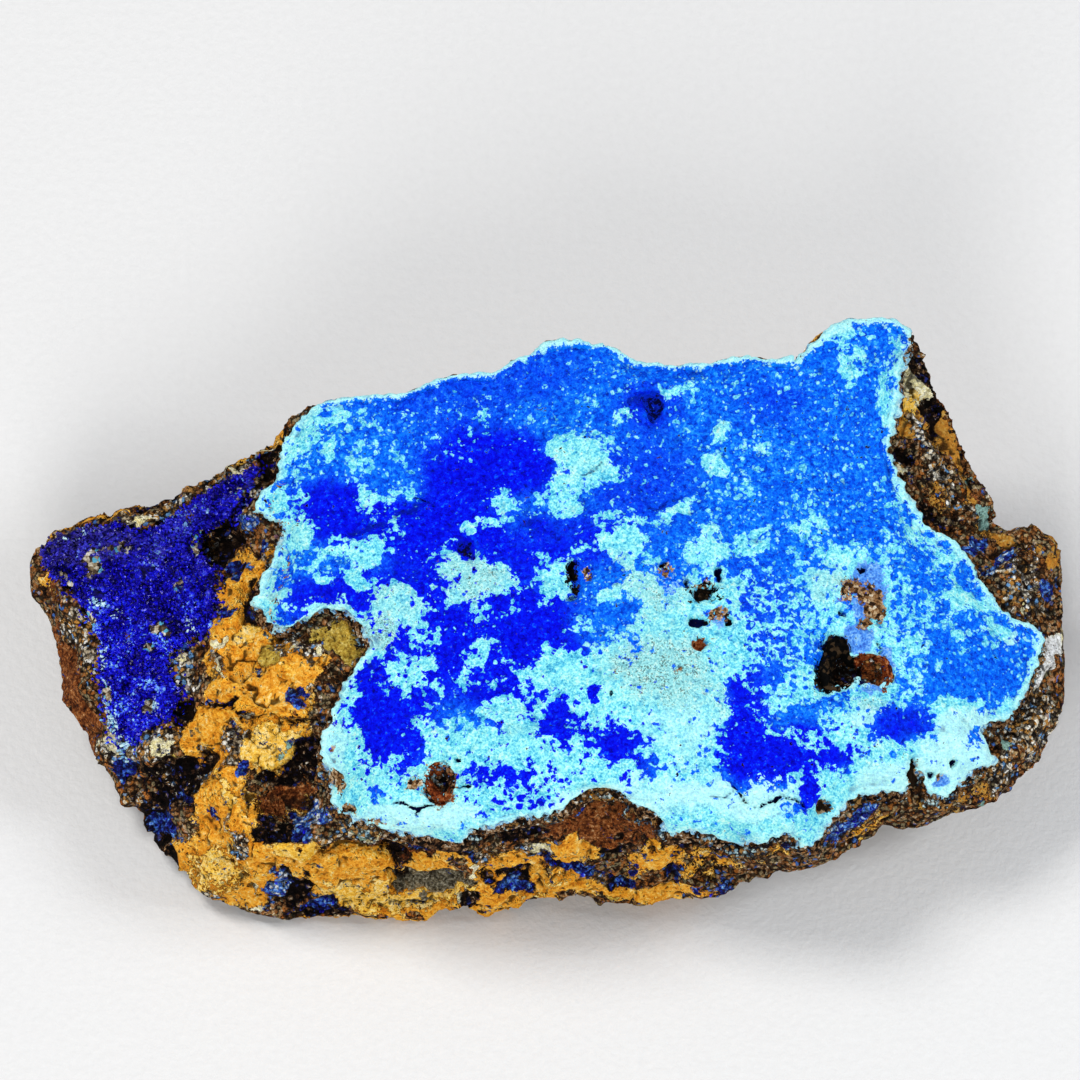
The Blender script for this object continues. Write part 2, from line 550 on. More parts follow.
azure = patches(rock_places, [
    (2.6, -24.3, 3, 0.6, -4, 1.1), (-3.2, -25.7, 2, 0.7, -5, 1), (7.4, -25.9, 1.4, 0.7, 0.9),
    (12.6, -24.6, 1.2, 1.4, 1), (-40.5, -12.6, 0.5, 1.6, 5, 1.3), (-40.4, -15.2, 0.4, 1, 1),
    (16, -26, 1.4, 0.8, 0.7), (8.6, -24, 0.9, 0.8, 40, 0.8), (-23.6, -7.7, 0.7, 0.8, 1),
    (-31.8, -8.6, 0.9, 0.4, 10, 1.2), (-29.3, -14.7, 0.9, 0.8, 1.2), (-22.3, -19, 2.4, 0.7, 22, 1.3),
    (-23.6, -20.6, 1, 0.7, 1.1), (-26.2, -21.3, 0.7, 0.6, 0.9), (-26, -26, 1, 1.2, 1.4),
    (-21.8, -28, 2.8, 0.4, 10, 0.9), (-36.6, -20.2, 1.9, 1, -45, 1.2), (-35, -17.6, 1.2, 0.7, 0.8),
    (28.4, -20, 3, 1.3, 30, 1), (30.4, -18.8, 1.6, 0.8, 20, 0.8), (41.9, -12.1, 0.7, 1.2, 1.4),
    (43.6, 5.4, 2, 0.4, 38, 1.4), (41.4, 6.6, 1.2, 0.7, 0.9), (48.2, 2.4, 0.9, 1, 1.3),
    (41.8, 2.8, 0.6, 0.9, 1.1), (-28.5, 9.4, 1.1, 0.8, 1.2), (-27.6, 6.5, 0.7, 0.6, 0.9),
    (-30, 4.7, 0.8, 0.5, 1.1), (-31.3, 0.3, 1, 0.6, 40, 1.2), (-28.3, 0.3, 0.7, 0.5, 1),
    (-35.4, -2.3, 0.9, 0.5, 20, 1.2), (-40.4, -14.1, 0.9, 1, 1.3), (-12.4, -21.2, 0.9, 0.6, -30, 1.1),
    (-9.6, -21.8, 1.4, 0.4, 1.1), (-17.2, -20.7, 0.6, 0.4, 0.4), (23.2, -21.2, 0.9, 1, 1.2),
    (20.6, -20.9, 0.8, 0.5, 1), (29.9, -1.8, 1.2, 1.4, 1.3), (32.8, -4.4, 0.5, 1.6, -10, 1.1),
    (-31.6, -19, 0.6, 0.7, 0.6), (-37.2, -8, 1.4, 1.4, 0.9), (17, -22.8, 1, 0.5, 0.7),
    (-7.8, -22.4, 1.2, 0.5, -40, 0.7), (-5.6, -24, 0.6, 0.5, 0.7), (3.8, -18, 0.9, 0.5, 40, 1),
    (8.4, -18.2, 0.6, 0.5, 0.8), (47.4, -2.2, 0.9, 0.6, -50, 0.9),
])
# Some of the azurite is light blue.
light = patches(rock_places, [
    (-22.3, -19, 2.6, 0.9, 22, 1), (-26, -26, 1.2, 1.3, 1), (-28.5, 9.6, 1.6, 1.2, 0.9),
    (-26.8, 8, 1.4, 1.4, 0.7), (43.6, 5.4, 2.2, 0.6, 38, 0.6), (48.2, 2.4, 0.9, 1, 0.6),
    (-31.2, -19.4, 1.2, 1, 0.5), (29, -19.8, 3, 1.3, 30, 0.5), (-35.4, -2.3, 0.9, 0.5, 20, 0.8),
    (48.2, -4.2, 3.2, 1.6, 62, 1.2),
])
slate = patches(rock_places, [
    (-10.8, -25, 4.6, 0.9, -3, 1.6), (-12, -27, 1.8, 0.4, 25, 0.8), (-28.6, -9.2, 1, 0.5, 0.7),
])
cream = patches(rock_places, [
    (48.2, -4.2, 2.9, 1.2, 62, 2), (-43.8, 5.6, 0.6, 0.9, 1.3), (-42.6, -1.2, 1, 0.35, -50, 1.3),
    (-22.3, -3.7, 0.6, 0.8, 1.2), (-6.8, -23.8, 0.5, 0.8, 30, 1.2), (-1, -22.9, 1.1, 0.6, -35, 1.3),
    (-27.4, 16.2, 1.4, 0.5, 50, 1.2), (-39, 9.2, 1.4, 0.5, 8, 1), (-29.8, 14.2, 1.2, 0.4, 35, 1),
    (35.2, 22.2, 2, 0.8, -48, 1.8), (-8.3, -27.3, 0.3, 0.8, 1.2), (-37.4, -12.6, 1.2, 0.9, 20, 1),
    (-41.6, -12.4, 1.2, 0.6, -45, 1.1), (49.2, 7.2, 0.4, 0.5, 1.2), (-35.4, -4.6, 0.6, 0.5, 1.2),
    (-31, -2.3, 0.5, 0.5, 1), (-31.2, -5.2, 0.5, 0.6, 1), (-17.6, -20.8, 2.2, 0.3, -3, 1.2),
    (33.9, 14, 0.6, 0.3, 0.9), (-37, -22, 1.2, 0.25, -60, 1.1), (-24.4, -2.6, 0.6, 0.4, 0.8),
    (42.5, -18, 0.6, 0.3, 1.2), (-37.2, -6.4, 0.5, 0.5, 0.9), (-28.4, -27.8, 0.8, 0.4, 0.9),
    (-13.4, -20.6, 0.8, 0.3, -10, 1), (-27.6, -25.6, 0.4, 0.6, 1), (46, 1, 0.5, 0.4, 0.8),
])
teal = patches(rock_places, [
    (41.9, 9.9, 1, 1.2, 1.4), (44.4, -12.6, 0.6, 1.2, 0.9), (42.2, -18, 1.2, 0.4, 30, 1),
    (-25, -12.9, 0.9, 0.6, 0.7), (41.2, 13.3, 0.6, 0.6, 0.8), (-17.5, -20.4, 1.2, 0.6, 0.9),
])
rust = patches(rock_places, [
    (30.7, -4.3, 1.7, 1.2, 1.5), (41.4, 11.6, 1.3, 1, 0.8), (-23.2, -4.4, 1, 0.8, 0.6),
    (5, -19.8, 7.4, 2.8, 0.75), (31.2, -5.2, 2.2, 1.8, 1.8), (-30.6, -5.6, 1, 2, 1),
    (-25.8, -17.4, 3.4, 1.5, 8, 1), (-33.6, -11.6, 1.2, 1.6, 0.7), (-29.2, 7, 0.7, 0.5, 1),
    (-46.2, -4.6, 1.2, 4.6, 12, 1.1), (-44.6, -10.4, 1.2, 4.2, 24, 1.1), (-48, 4.4, 1.4, 2.6, 12, 0.9),
    (40, 15.6, 3, 0.5, -60, 0.7), (-18.4, -22.2, 3.8, 0.5, 10, 0.9), (-12.5, -22.3, 3, 0.7, 0.8),
    (-9.8, -16.6, 0.9, 1.5, 0.5), (37.2, 10.8, 0.9, 0.6, 0.8),
])
# On the sides that the drawing doesn't reach, the same minerals lie in broad uneven patches.
bedded = rock_points * np.array([0.6, 0.6, 1.5])


def all_round(mineral, gain, size, octaves, seed, start, most):
    """A mineral as it is drawn on the seen side, and as broad patches on the others."""
    broad = np.clip(gain * rough(bedded, size, octaves, seed) + start, 0, most)
    return mineral * seen + (1 - seen) * broad


ochre = all_round(ochre, 1.1, 11.0, 3, 3.0, 0.35, 1.1)
yellow = all_round(yellow, 1.0, 8.0, 2, 5.0, -0.1, 0.8)
pale = all_round(pale, 0.9, 6.0, 3, 8.0, 0.05, 0.9)
dark = all_round(dark, 1.2, 7.0, 3, 12.0, 0.15, 1.1)
azure = all_round(azure, 1.5, 9.0, 3, 17.0, -0.65, 0.8)
rust = all_round(rust, 1.0, 9.0, 2, 21.0, 0.0, 0.8)
granular = np.clip(1.1 - ochre + pale, 0.15, 1)
dull = np.clip((rock_places[:, 0] - 32.0) / 4.0, 0, 1)

# The growth is taken back from the top, so that the rock stays under the crust.
relief = 0.15 * (1 - np.abs(rock_normals[:, 2])) - rock_growth * np.clip(rock_normals[:, 2], 0, 1)
# The facets are calmer at the left end and along the skyline.
calm = 1 - 0.75 * np.clip((-41.0 - rock_places[:, 0]) / 4.0, 0, 1)
calm *= 0.4 + 0.6 * np.clip(np.abs(rock_normals @ np.array((0, -0.5, 0.866))) / 0.4, 0, 1)
relief += calm * (0.5 * rough(rock_points, 3.2, 3) + 0.75 * facets(rock_points, 2.8, 2.0))
relief += calm * 0.22 * facets(rock_points, 1.2, 5.0)
relief += granular * (0.2 * (0.5 - crags(rock_points, 0.9, 4.0)) + 0.12 * rough(rock_points, 1.1, 2, 9.0))
relief += calm * (1 - seen) * (0.9 * facets(rock_points, 7.0, 31.0) + 0.35 * rough(bedded, 3.0, 3, 35.0))
relief -= 0.9 * np.clip(dark, 0, 1.2) * (0.7 + 0.6 * rough(rock_points, 1.5, 2, 2.0))
relief += 0.35 * np.clip(pale, 0, 1) * np.abs(rough(rock_points, 0.9, 2, 14.0))
ochre_relief = 0.3 * facets(rock_points, 1.9, 18.0) + 0.12 * rough(rock_points, 1.0, 2, 19.0)
relief += np.clip(ochre, 0, 1) * ochre_relief
# Some of the rock still stands against the crust's broken edge.
covered = under_crust(rock_points, 0.0)
from_crust = distance_to(wall_tree, rock_points)
lap = np.exp(-((from_crust / 0.8) ** 2)) * np.clip(0.25 + 0.9 * rough(rock_points, 1.3, 2, 23.0), 0, 1.0)
backward = np.clip(rock_normals[:, 1] * 1.5, 0, 1)
relief += np.where(covered, 0, lap * (1 - backward))
# At the back the crust reaches as far as the rock does.
relief -= 0.9 * backward * np.exp(-((from_crust / 2.0) ** 2))
# The outline is fuller at the lower left and slighter in a few other places than the solid's.
relief += strokes(rock_places, [
    (0.5, 2, [(-43, -13.6), (-41.4, -16.6)]), (1.9, 2.2, [(-39.8, -19.2), (-36.8, -24)]),
    (-0.9, 1.3, [(39.4, 19.6), (40.6, 16.6), (42, 13.4)]), (1, 1.6, [(-16, -28.8), (-12.6, -29.2)]),
    (-0.7, 1.2, [(-42, 11), (-37.6, 12)]), (-1.5, 1.3, [(-33.4, 13.6), (-30, 15.6), (-26.4, 18.4)]),
    (-0.7, 1.2, [(-48.6, 8), (-46.4, 9.4)]), (-1, 1.4, [(20, -25.6), (24, -24.8)]),
    (-1.2, 1.6, [(29, -23.2), (31, -22.4), (33, -21.6)]), (-0.6, 1.4, [(-43.6, -14.6), (-41, -19.6)]),
    (-0.8, 1.4, [(-4, -29), (3, -28)]), (0.8, 1.2, [(44.6, -15.8), (46.4, -13)]),
])
relief += seen * strokes(rock_places, [
    (0.7, 0.7, [(-27, 5.6), (-29.6, 3.2), (-30.6, -0.4), (-30.9, -6.2), (-29.2, -8.6)]),
    (-0.9, 0.25, [(-28.2, -9.8), (-25.4, -9.9), (-22, -9.9), (-20.8, -10.6)]),
    (-0.6, 0.3, [(-29.4, -3.8), (-28.6, -5.6), (-27.8, -7)]),
    (-0.5, 0.3, [(-33.6, -12.8), (-31.6, -11.4), (-29.8, -10.2)]),
    (-0.7, 0.35, [(-34.4, -17.6), (-33.6, -19.4), (-32.4, -21), (-32.2, -22.4)]),
    (-0.6, 0.3, [(-28.8, -16.8), (-28.6, -20.2), (-27.6, -22.6)]),
    (-0.8, 0.4, [(-21.6, -22.4), (-17.8, -22.2), (-14.6, -22.9), (-11, -22.6), (-8, -23.6)]),
    (-0.6, 0.3, [(-15.4, -25), (-13.2, -24.6), (-10.4, -23.9), (-8.8, -24.4), (-6.4, -25.8)]),
    (0.5, 0.4, [(-16, -25.6), (-11, -25.8), (-7.6, -26.4), (-5.6, -27.6)]),
    (-0.5, 0.25, [(-20.6, -26.9), (-16.2, -27.2), (-11.8, -27.4), (-9.6, -26.8)]),
    (-0.6, 0.3, [(-2, -25), (1.6, -25.4), (5, -25), (7, -25.6)]),
    (-0.5, 0.3, [(9.6, -26.4), (12.6, -25.4), (15.8, -25)]),
    (-0.8, 0.35, [(35, 26), (36.4, 22.4), (37.6, 18.8), (39.4, 15.4)]),
    (-0.5, 0.3, [(34.6, 17.2), (36.4, 15), (38.6, 12.4), (40.2, 11)]),
    (-0.5, 0.3, [(35.4, 13.8), (37, 11.6), (39, 9.6), (40.8, 8.4)]),
    (0.4, 0.4, [(36.6, 17.6), (38.6, 14.6), (40, 12.8)]),
    (-0.6, 0.3, [(42.4, 6.6), (44, 6.4), (45.4, 7.4)]),
    (-0.5, 0.3, [(38, -16.4), (42, -13.6), (44.6, -11.2), (46.4, -8.6)]),
    (-0.5, 0.35, [(-25.6, -1.9), (-27.6, -2.6), (-28.4, -4.2), (-26.8, -5)]),
])
# Hollows are cut no deeper than a third of the stone there, and the flat patch underneath stays flat.
relief = np.maximum(relief, -0.33 * room_under(rock, rock_points, rock_normals))
lift = np.clip((rock_points[:, 2] - 0.15) / 0.8, 0, 1)
carved_rock = rock_points + rock_normals * (relief * lift)[:, None]
carve(rock, carved_rock)

creases = hollows(rock, carved_rock, 6) / 0.24 + hollows(rock, carved_rock, 1) / 0.2
for name, values in (
    ("ochre", ochre), ("yellow", yellow), ("olive", olive * seen), ("pale", pale), ("dark", dark),
    ("azure", azure),
    ("slate", slate * seen), ("light", light * seen), ("teal", teal * seen), ("cream", cream * seen),
    ("rust", rust), ("granular", granular), ("dull", dull),
    ("crumbs", 0.6 * np.exp(-((from_crust / 1.1) ** 2))), ("hollow", creases),
):
    keep_field(rock, name, np.clip(values, -1.5, 1.5))

earth = Finish("limonite_earth")
lace = earth.clouds(1.7, 4.0, 0.75) * 0.9
medium = earth.clouds(0.7, 3.0, 0.6, distortion=0.6)
fine = earth.clouds(0.28, 2.0, 0.6)
# The grains are packed cells, each with chance numbers of its own for how light it is and for its mineral,
# and grains of like minerals lie in clusters.
uneven_place = earth.unevenly(2.5, 0.5)
grain_size = 0.42
grain_chances = earth.grains(grain_size, "Color", place=uneven_place)
cluster = earth.clouds(1.2, 1.0, 0.5) * 0.5 + 0.5
lightness = earth.channel(grain_chances, "Red")
warmth = earth.channel(grain_chances, "Green") * 0.65 + cluster * 0.35
rarity = earth.channel(grain_chances, "Blue")
grain_middle = earth.grains(grain_size, place=uneven_place)
grain_gap = (grain_middle + fine * 0.12).steps(0.42, 0.66)
grit = earth.channel(earth.grains(0.24, "Color", place=uneven_place), "Green")
# On the broken right flank the layers show as fine lines that run down and to the right.
layer_slope = math.radians(62)
turned = earth.add(
    "ShaderNodeMapping", {}, {"Vector": uneven_place, "Rotation": (0.0, 0.0, layer_slope)}, "Vector"
)
layers = earth.clouds(0.55, 3.0, 0.65, earth.along(turned, "MULTIPLY", {1: (0.2, 1.0, 1.0)}))

brown = earth.ramp(
    lightness * 0.62 + grit * 0.22 + fine * 0.2 + lace * 0.14 + layers * 0.16 + 0.17,
    [(0, (0.001, 0.001, 0.001)), (0.26, (0.01, 0.005, 0.003)), (0.42, (0.09, 0.034, 0.011)),
     (0.62, (0.26, 0.112, 0.036)), (0.8, (0.43, 0.25, 0.11)), (0.94, (0.62, 0.49, 0.32)),
     (1, (0.9, 0.84, 0.72))],
)
brown = earth.mix(warmth.steps(0.64, 0.70) * 0.7, brown, (0.42, 0.14, 0.025))
brown = earth.mix((0.36 - warmth).steps(0.0, 0.06) * 0.6, brown, (0.30, 0.27, 0.15))
brown = earth.mix(rarity.steps(0.96, 0.975), brown, (0.06, 0.16, 0.50))
brown = earth.mix(grain_gap * 0.9, brown, (0.002, 0.001, 0.001))
ochre_colour = earth.ramp(
    medium * 0.28 + fine * 0.18 + lace * 0.24 + grit * 0.22 + 0.50,
    [(0, (0.03, 0.01, 0.002)), (0.14, (0.24, 0.065, 0.006)), (0.34, (0.62, 0.21, 0.012)),
     (0.56, (0.86, 0.36, 0.026)), (0.78, (0.97, 0.56, 0.09)), (1, (1, 0.84, 0.42))],
)
ochre_colour = earth.mix(earth.field("dull") * 0.55, ochre_colour, (0.20, 0.095, 0.03))
yellow_colour = earth.ramp(
    medium * 0.28 + fine * 0.20 + lace * 0.22 + grit * 0.22 + 0.50,
    [(0, (0.1, 0.035, 0.004)), (0.3, (0.72, 0.33, 0.02)), (0.6, (0.96, 0.58, 0.08)), (1, (1, 0.88, 0.46))],
)
olive_colour = earth.ramp(
    medium * 0.3 + fine * 0.25 + lace * 0.2 + grit * 0.2 + 0.50,
    [(0, (0.03, 0.016, 0.003)), (0.4, (0.3, 0.18, 0.022)), (0.7, (0.56, 0.39, 0.06)),
     (1, (0.8, 0.66, 0.22))],
)
pale_colour = earth.ramp(
    lightness * 0.85 + fine * 0.2 + grit * 0.1 + 0.04,
    [(0, (0.002, 0.002, 0.002)), (0.24, (0.03, 0.02, 0.013)), (0.42, (0.27, 0.2, 0.12)),
     (0.62, (0.62, 0.55, 0.41)), (0.85, (0.94, 0.92, 0.84)), (1, (1, 1, 0.98))],
)
pale_colour = earth.mix(warmth.steps(0.62, 0.66), pale_colour, (0.48, 0.24, 0.06))
pale_colour = earth.mix(rarity.steps(0.90, 0.93), pale_colour, (0.14, 0.32, 0.60))
pale_colour = earth.mix(grain_gap * 0.9, pale_colour, (0.003, 0.002, 0.002))
cream_colour = earth.ramp(
    lightness * 0.25 + fine * 0.35 + medium * 0.2 + grit * 0.15 + 0.56,
    [(0, (0.22, 0.16, 0.06)), (0.3, (0.7, 0.62, 0.3)), (0.6, (0.95, 0.86, 0.44)), (1, (1, 0.98, 0.8))],
)
cream_colour = earth.mix(earth.field("light").steps(0.4, 0.9), cream_colour, (0.98, 1.0, 1.0))
cream_colour = earth.mix((grain_gap + fine * 0.3).steps(0.3, 1.2) * 0.5, cream_colour, (0.10, 0.07, 0.03))
dark_colour = earth.ramp(
    lightness * 0.75 + fine * 0.25 + grit * 0.1 + 0.06,
    [(0, (0, 0, 0)), (0.5, (0.004, 0.002, 0.002)), (0.7, (0.05, 0.022, 0.01)), (0.84, (0.24, 0.13, 0.06)),
     (0.94, (0.5, 0.38, 0.25)), (1, (0.85, 0.8, 0.7))],
)
dark_colour = earth.mix(warmth.steps(0.74, 0.80) * 0.8, dark_colour, (0.02, 0.035, 0.22))
dark_colour = earth.mix(grain_gap * 0.9, dark_colour, (0.0, 0.0, 0.0))
azure_colour = earth.ramp(
    lightness * 0.65 + fine * 0.3 + 0.1 + earth.field("light") * 0.32,
    [(0, (0.001, 0.001, 0.008)), (0.25, (0.006, 0.006, 0.1)), (0.45, (0.015, 0.03, 0.38)),
     (0.65, (0.05, 0.18, 0.72)), (0.85, (0.2, 0.46, 0.88)), (1, (0.88, 0.94, 0.98))],
)
azure_colour = earth.mix(grain_gap * 0.7, azure_colour, (0.001, 0.001, 0.015))
crumb_colour = earth.ramp(
    lightness * 0.8 + fine * 0.25 + 0.06,
    [(0, (0.002, 0.002, 0.003)), (0.3, (0.02, 0.025, 0.05)), (0.5, (0.16, 0.34, 0.52)),
     (0.75, (0.5, 0.76, 0.8)), (1, (0.95, 0.97, 0.93))],
)
crumb_colour = earth.mix(warmth.steps(0.50, 0.56), crumb_colour, (0.36, 0.20, 0.07))
crumb_colour = earth.mix(grain_gap * 0.9, crumb_colour, (0.002, 0.002, 0.002))
slate_colour = earth.ramp(
    fine * 0.5 + grit * 0.3 + 0.35,
    [(0, (0.01, 0.01, 0.008)), (0.5, (0.14, 0.12, 0.075)), (1, (0.45, 0.42, 0.32))]
)
teal_colour = earth.ramp(fine * 0.4 + 0.5, [(0, (0.05, 0.14, 0.13)), (1, (0.42, 0.68, 0.6))])
rust_colour = earth.ramp(
    medium * 0.30 + fine * 0.3 + lace * 0.2 + layers * 0.15 + grit * 0.25 + 0.36,
    [(0, (0.004, 0.001, 0.001)), (0.35, (0.1, 0.024, 0.006)), (0.6, (0.28, 0.085, 0.02)),
     (0.8, (0.46, 0.2, 0.07)), (1, (0.7, 0.44, 0.22))],
)
# Each mineral lies over the ones before it, with a dark seam along its broken edge. The last number is how
# far the edge wanders.
rock_colour = brown
for name, colour, reach in (
    ("rust", rust_colour, 0.38), ("ochre", ochre_colour, 0.38), ("yellow", yellow_colour, 0.38),
    ("olive", olive_colour, 0.38), ("slate", slate_colour, 0.2), ("dark", dark_colour, 0.6),
    ("pale", pale_colour, 0.6), ("teal", teal_colour, 0.38), ("cream", cream_colour, 0.65),
    ("azure", azure_colour, 0.9), ("crumbs", crumb_colour, 0.6),
):
    level = earth.field(name) + lace * reach + fine * 0.16 + grit * 0.16 - 0.08
    seam = level.steps(0.36, 0.48) * (1 - level.steps(0.50, 0.60))
    under = earth.mix(seam * 0.8, rock_colour, (0.010, 0.006, 0.005))
    rock_colour = earth.mix(level.steps(0.49, 0.56), under, colour)
# Creases are dark and ridges are worn light. Thin cracks and small black pits go through all of it.
hollow = earth.field("hollow")
rock_colour = earth.mix((hollow + fine * 0.2).steps(0.35, 1.3) * 0.85, rock_colour, (0.006, 0.003, 0.002))
rock_colour = earth.mix((0 - hollow).steps(0.2, 1.5) * 0.3, rock_colour, (1.0, 0.66, 0.26), "SOFT_LIGHT")
vein = earth.clouds(1.3, 4.0, 0.6, distortion=1.2)
crack = (1 - (vein * vein).steps(0.0006, 0.005)) * earth.clouds(2.0, 1.0, 0.5, distortion=0.5).steps(0.1, 0.5)
pit = ((0.3 - rarity).steps(0.0, 0.3) * 0.38 - grain_middle).steps(0.0, 0.12)
crack = crack + pit - crack * pit
rock_colour = earth.mix(crack * 0.9, rock_colour, (0.006, 0.004, 0.003))
rock_height = medium * 0.7 + fine * 0.45 - grain_middle * earth.field("granular") * 1.5
earth.done(
    rock,
    Base_Color=rock_colour,
    Roughness=0.78 + fine * 0.1,
    Specular_IOR_Level=0.06,
    Normal=earth.bump(rock_height, 0.2),
)
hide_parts("limonite_matrix")
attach(rock, "root")

# ---- The gibbsite crust ----
# A lumpy layer 1.5 mm thick over the right two thirds of the rock: pale turquoise gibbsite, with deep blue
# azurite in grains that run together in places, small pits and holes, and a pale worn rim all round.

crust_growth = 0.35
crust = fine_copy("gibbsite_crust", "gibbsite_crust_skin", voxel=0.26, passes=3, growth=crust_growth)
crust_points = points_of(crust.data) / MM
crust_normals = points_of(crust.data, "normal")
facing = crust_normals @ np.array(crust_up)
edge_distance = distance_to(wall_tree, crust_points)
thin_out(crust, (facing < -0.3) & (edge_distance > 1.0), ratio=0.66)

crust_points = points_of(crust.data) / MM
crust_normals = points_of(crust.data, "normal")
crust_places = wandering(drawn(crust_points), crust_points, reach=0.8, size=2.0, seed=41.0)
small_places = wandering(drawn(crust_points), crust_points, reach=0.35, size=0.9, seed=51.0)
facing = crust_normals @ np.array(crust_up)
edge_distance = distance_to(wall_tree, crust_points)
on_top = np.clip((facing - 0.2) / 0.5, 0, 1)
# The face is rounded away from its edges.
rounding = on_top * np.clip((edge_distance - 0.5) / 1.0, 0, 1)
crust_points += (eased(crust, crust_points, passes=40) - crust_points) * rounding[:, None]

pale_patches = patches(crust_places, [
    (-22.5, 16.6, 2.6, 1.2, -30, 0.55), (-19, 19.2, 2.8, 1, -15, 0.5), (-17.8, 15.8, 1.6, 1.6, 0.6),
    (-24, 14.6, 1.4, 2.2, 0.6), (-17.8, 13.2, 2.4, 1.4, -60, 0.4), (-16.4, 11.3, 2.2, 1, 5, 0.9),
    (-13.3, 12.3, 1.4, 0.8, 0.6), (-14.2, 8.7, 1, 1, 40, 0.8), (-24.6, 11.3, 2, 1, 10, 0.6),
    (-23.4, 8, 2.2, 1.3, 10, 0.9), (-19.7, 6.9, 1.7, 1.4, 0.9), (-16.4, 6.4, 2.2, 1.6, 20, 1),
    (-18.2, 3.8, 1.8, 1.6, 0.9), (-21.8, 5.8, 1.2, 0.9, 0.8), (-25.6, 3, 2, 1.4, 50, 0.5),
    (-14.2, 1.6, 4.6, 2.4, 8, 1.1), (-7, 4.2, 3.6, 2.6, 10, 1.1), (-7, 2, 2.4, 1.6, -20, 0.7),
    (-4.3, 11.2, 1.8, 1.4, 60, 0.9), (-6.6, 9, 2.4, 0.8, 8, 0.9), (2.3, 15.6, 2.6, 2.2, 1),
    (4.6, 15.8, 2.4, 2.4, 40, 0.9), (1, 12.2, 2.6, 1.2, 20, 0.9), (2.2, 10.3, 1.8, 0.9, 0.9),
    (-6, 20.1, 0.7, 0.7, 0.8), (0.1, 21.8, 0.7, 0.5, 0.7), (4.6, 20.2, 0.8, 0.5, 0.6),
    (6.4, 8.6, 3, 2.2, 30, 0.8), (7.4, 7, 2.4, 1.1, 0.9), (12.4, 21.9, 2.2, 1.1, 15, 0.7),
    (7.8, 19.2, 1.8, 0.7, 15, 0.7), (16.9, 17.7, 1.4, 0.8, 50, 1.3), (16.4, 14.6, 2, 1, -35, 1),
    (20.5, 16.6, 0.9, 1, 0.6), (12.9, 10.6, 1.8, 0.7, 32, 1.1), (15.6, 8.5, 1.5, 0.8, 0.8),
    (15.2, 6.5, 2.2, 1.5, 1.1), (20, 7.2, 2.6, 1.3, 25, 0.8), (23.7, 8.6, 0.9, 0.8, 0.9),
    (26, 8.6, 1.6, 1.4, 20, 0.9), (28.8, 6, 3, 1.5, -15, 1), (29.4, 24.2, 1.6, 1.8, 60, 0.8),
    (26.8, 27, 1.4, 0.8, 30, 0.8), (29.4, 27.6, 1, 0.5, 0.8), (31, 27.4, 0.6, 0.4, 0.8),
    (32.8, 23.2, 0.9, 0.8, 1), (33, 20, 0.9, 2.6, 8, 1.2), (36.6, 7.8, 2.4, 0.9, -38, 0.6),
    (38.6, 5.4, 1, 0.7, 0.7), (39.6, 2.2, 1.4, 0.9, -30, 0.7), (33, 2.6, 0.8, 3.2, 0.8),
    (27, 2.4, 1.8, 2.6, 0.9), (31.2, -8.2, 3, 1.3, 1.1), (26, -6.6, 2.2, 1.4, 0.7),
    (23, -6.6, 2.4, 0.9, 10, 0.8), (27.8, -9.6, 1.8, 0.9, 0.9), (38.6, -9, 2.4, 1.3, -8, 1.1),
    (43.4, -8.8, 2.8, 0.8, 35, 0.9), (39.4, -13.4, 3.4, 3, 1.3), (33.4, -14.6, 2.6, 2.2, 1.3),
    (29.6, -15.6, 2.6, 1.6, 1.1), (28, -17.6, 3.2, 1.4, 30, 1.1), (21, -19.2, 6.4, 1.8, 1.3),
    (12.6, -16.8, 5, 2.6, 1.2), (13.5, -11.5, 3.4, 2.2, 0.9), (10.4, -6, 5.6, 4, 1.3),
    (14.2, -7, 3.6, 4, 1.2), (12.6, 0.4, 3.6, 3.2, 1.1), (16.6, 0.6, 1.6, 4.2, 1.1), (17.8, 3, 1.6, 1, 0.8),
    (8.2, 3.2, 3, 1.6, 0.7), (1.2, 3.2, 1.4, 2.4, 1), (9, 1, 1.6, 1.2, 0.6), (2.4, -5.4, 4.6, 1.5, -4, 1.1),
    (6, -3, 3, 2, 0.7), (-3, -12.6, 6, 1.6, 8, 1.2), (-8.6, -12, 3, 1.4, 20, 1.1),
    (-3.6, -10.4, 3.6, 0.8, -20, 0.9), (-12, -18.6, 6, 2, -8, 1.4), (-9.6, -14, 2.6, 1.4, 0.9),
    (-18.6, -17.4, 2.4, 2.2, 1.1), (-20.3, -13, 1.2, 4.4, -4, 1.2), (-18.6, -7.4, 0.9, 1.6, -20, 1.1),
    (-13.2, -5.4, 2.4, 1.6, 0.9), (-6.2, -9.4, 3.6, 0.6, 8, 0.8), (-10.8, -3.4, 1.2, 1.6, 0.5),
    (-16.6, -1.6, 2.4, 1.3, -40, 0.8), (-6.6, -5, 1.6, 1.2, 0.7), (5.6, -16.2, 3, 1.2, 1),
    (2, -13.6, 3, 0.8, 0.6), (0.2, -6.8, 1.4, 0.8, 0.6), (44, -1.4, 2.2, 0.7, -35, 0.6),
    (24, 4.4, 2.2, 0.9, 20, 0.5), (-26.4, 0.2, 1.4, 0.6, -30, 0.7), (25.6, -11.2, 2, 0.8, 0.8),
    (22.6, -10.4, 1.4, 0.6, 0.7),
])
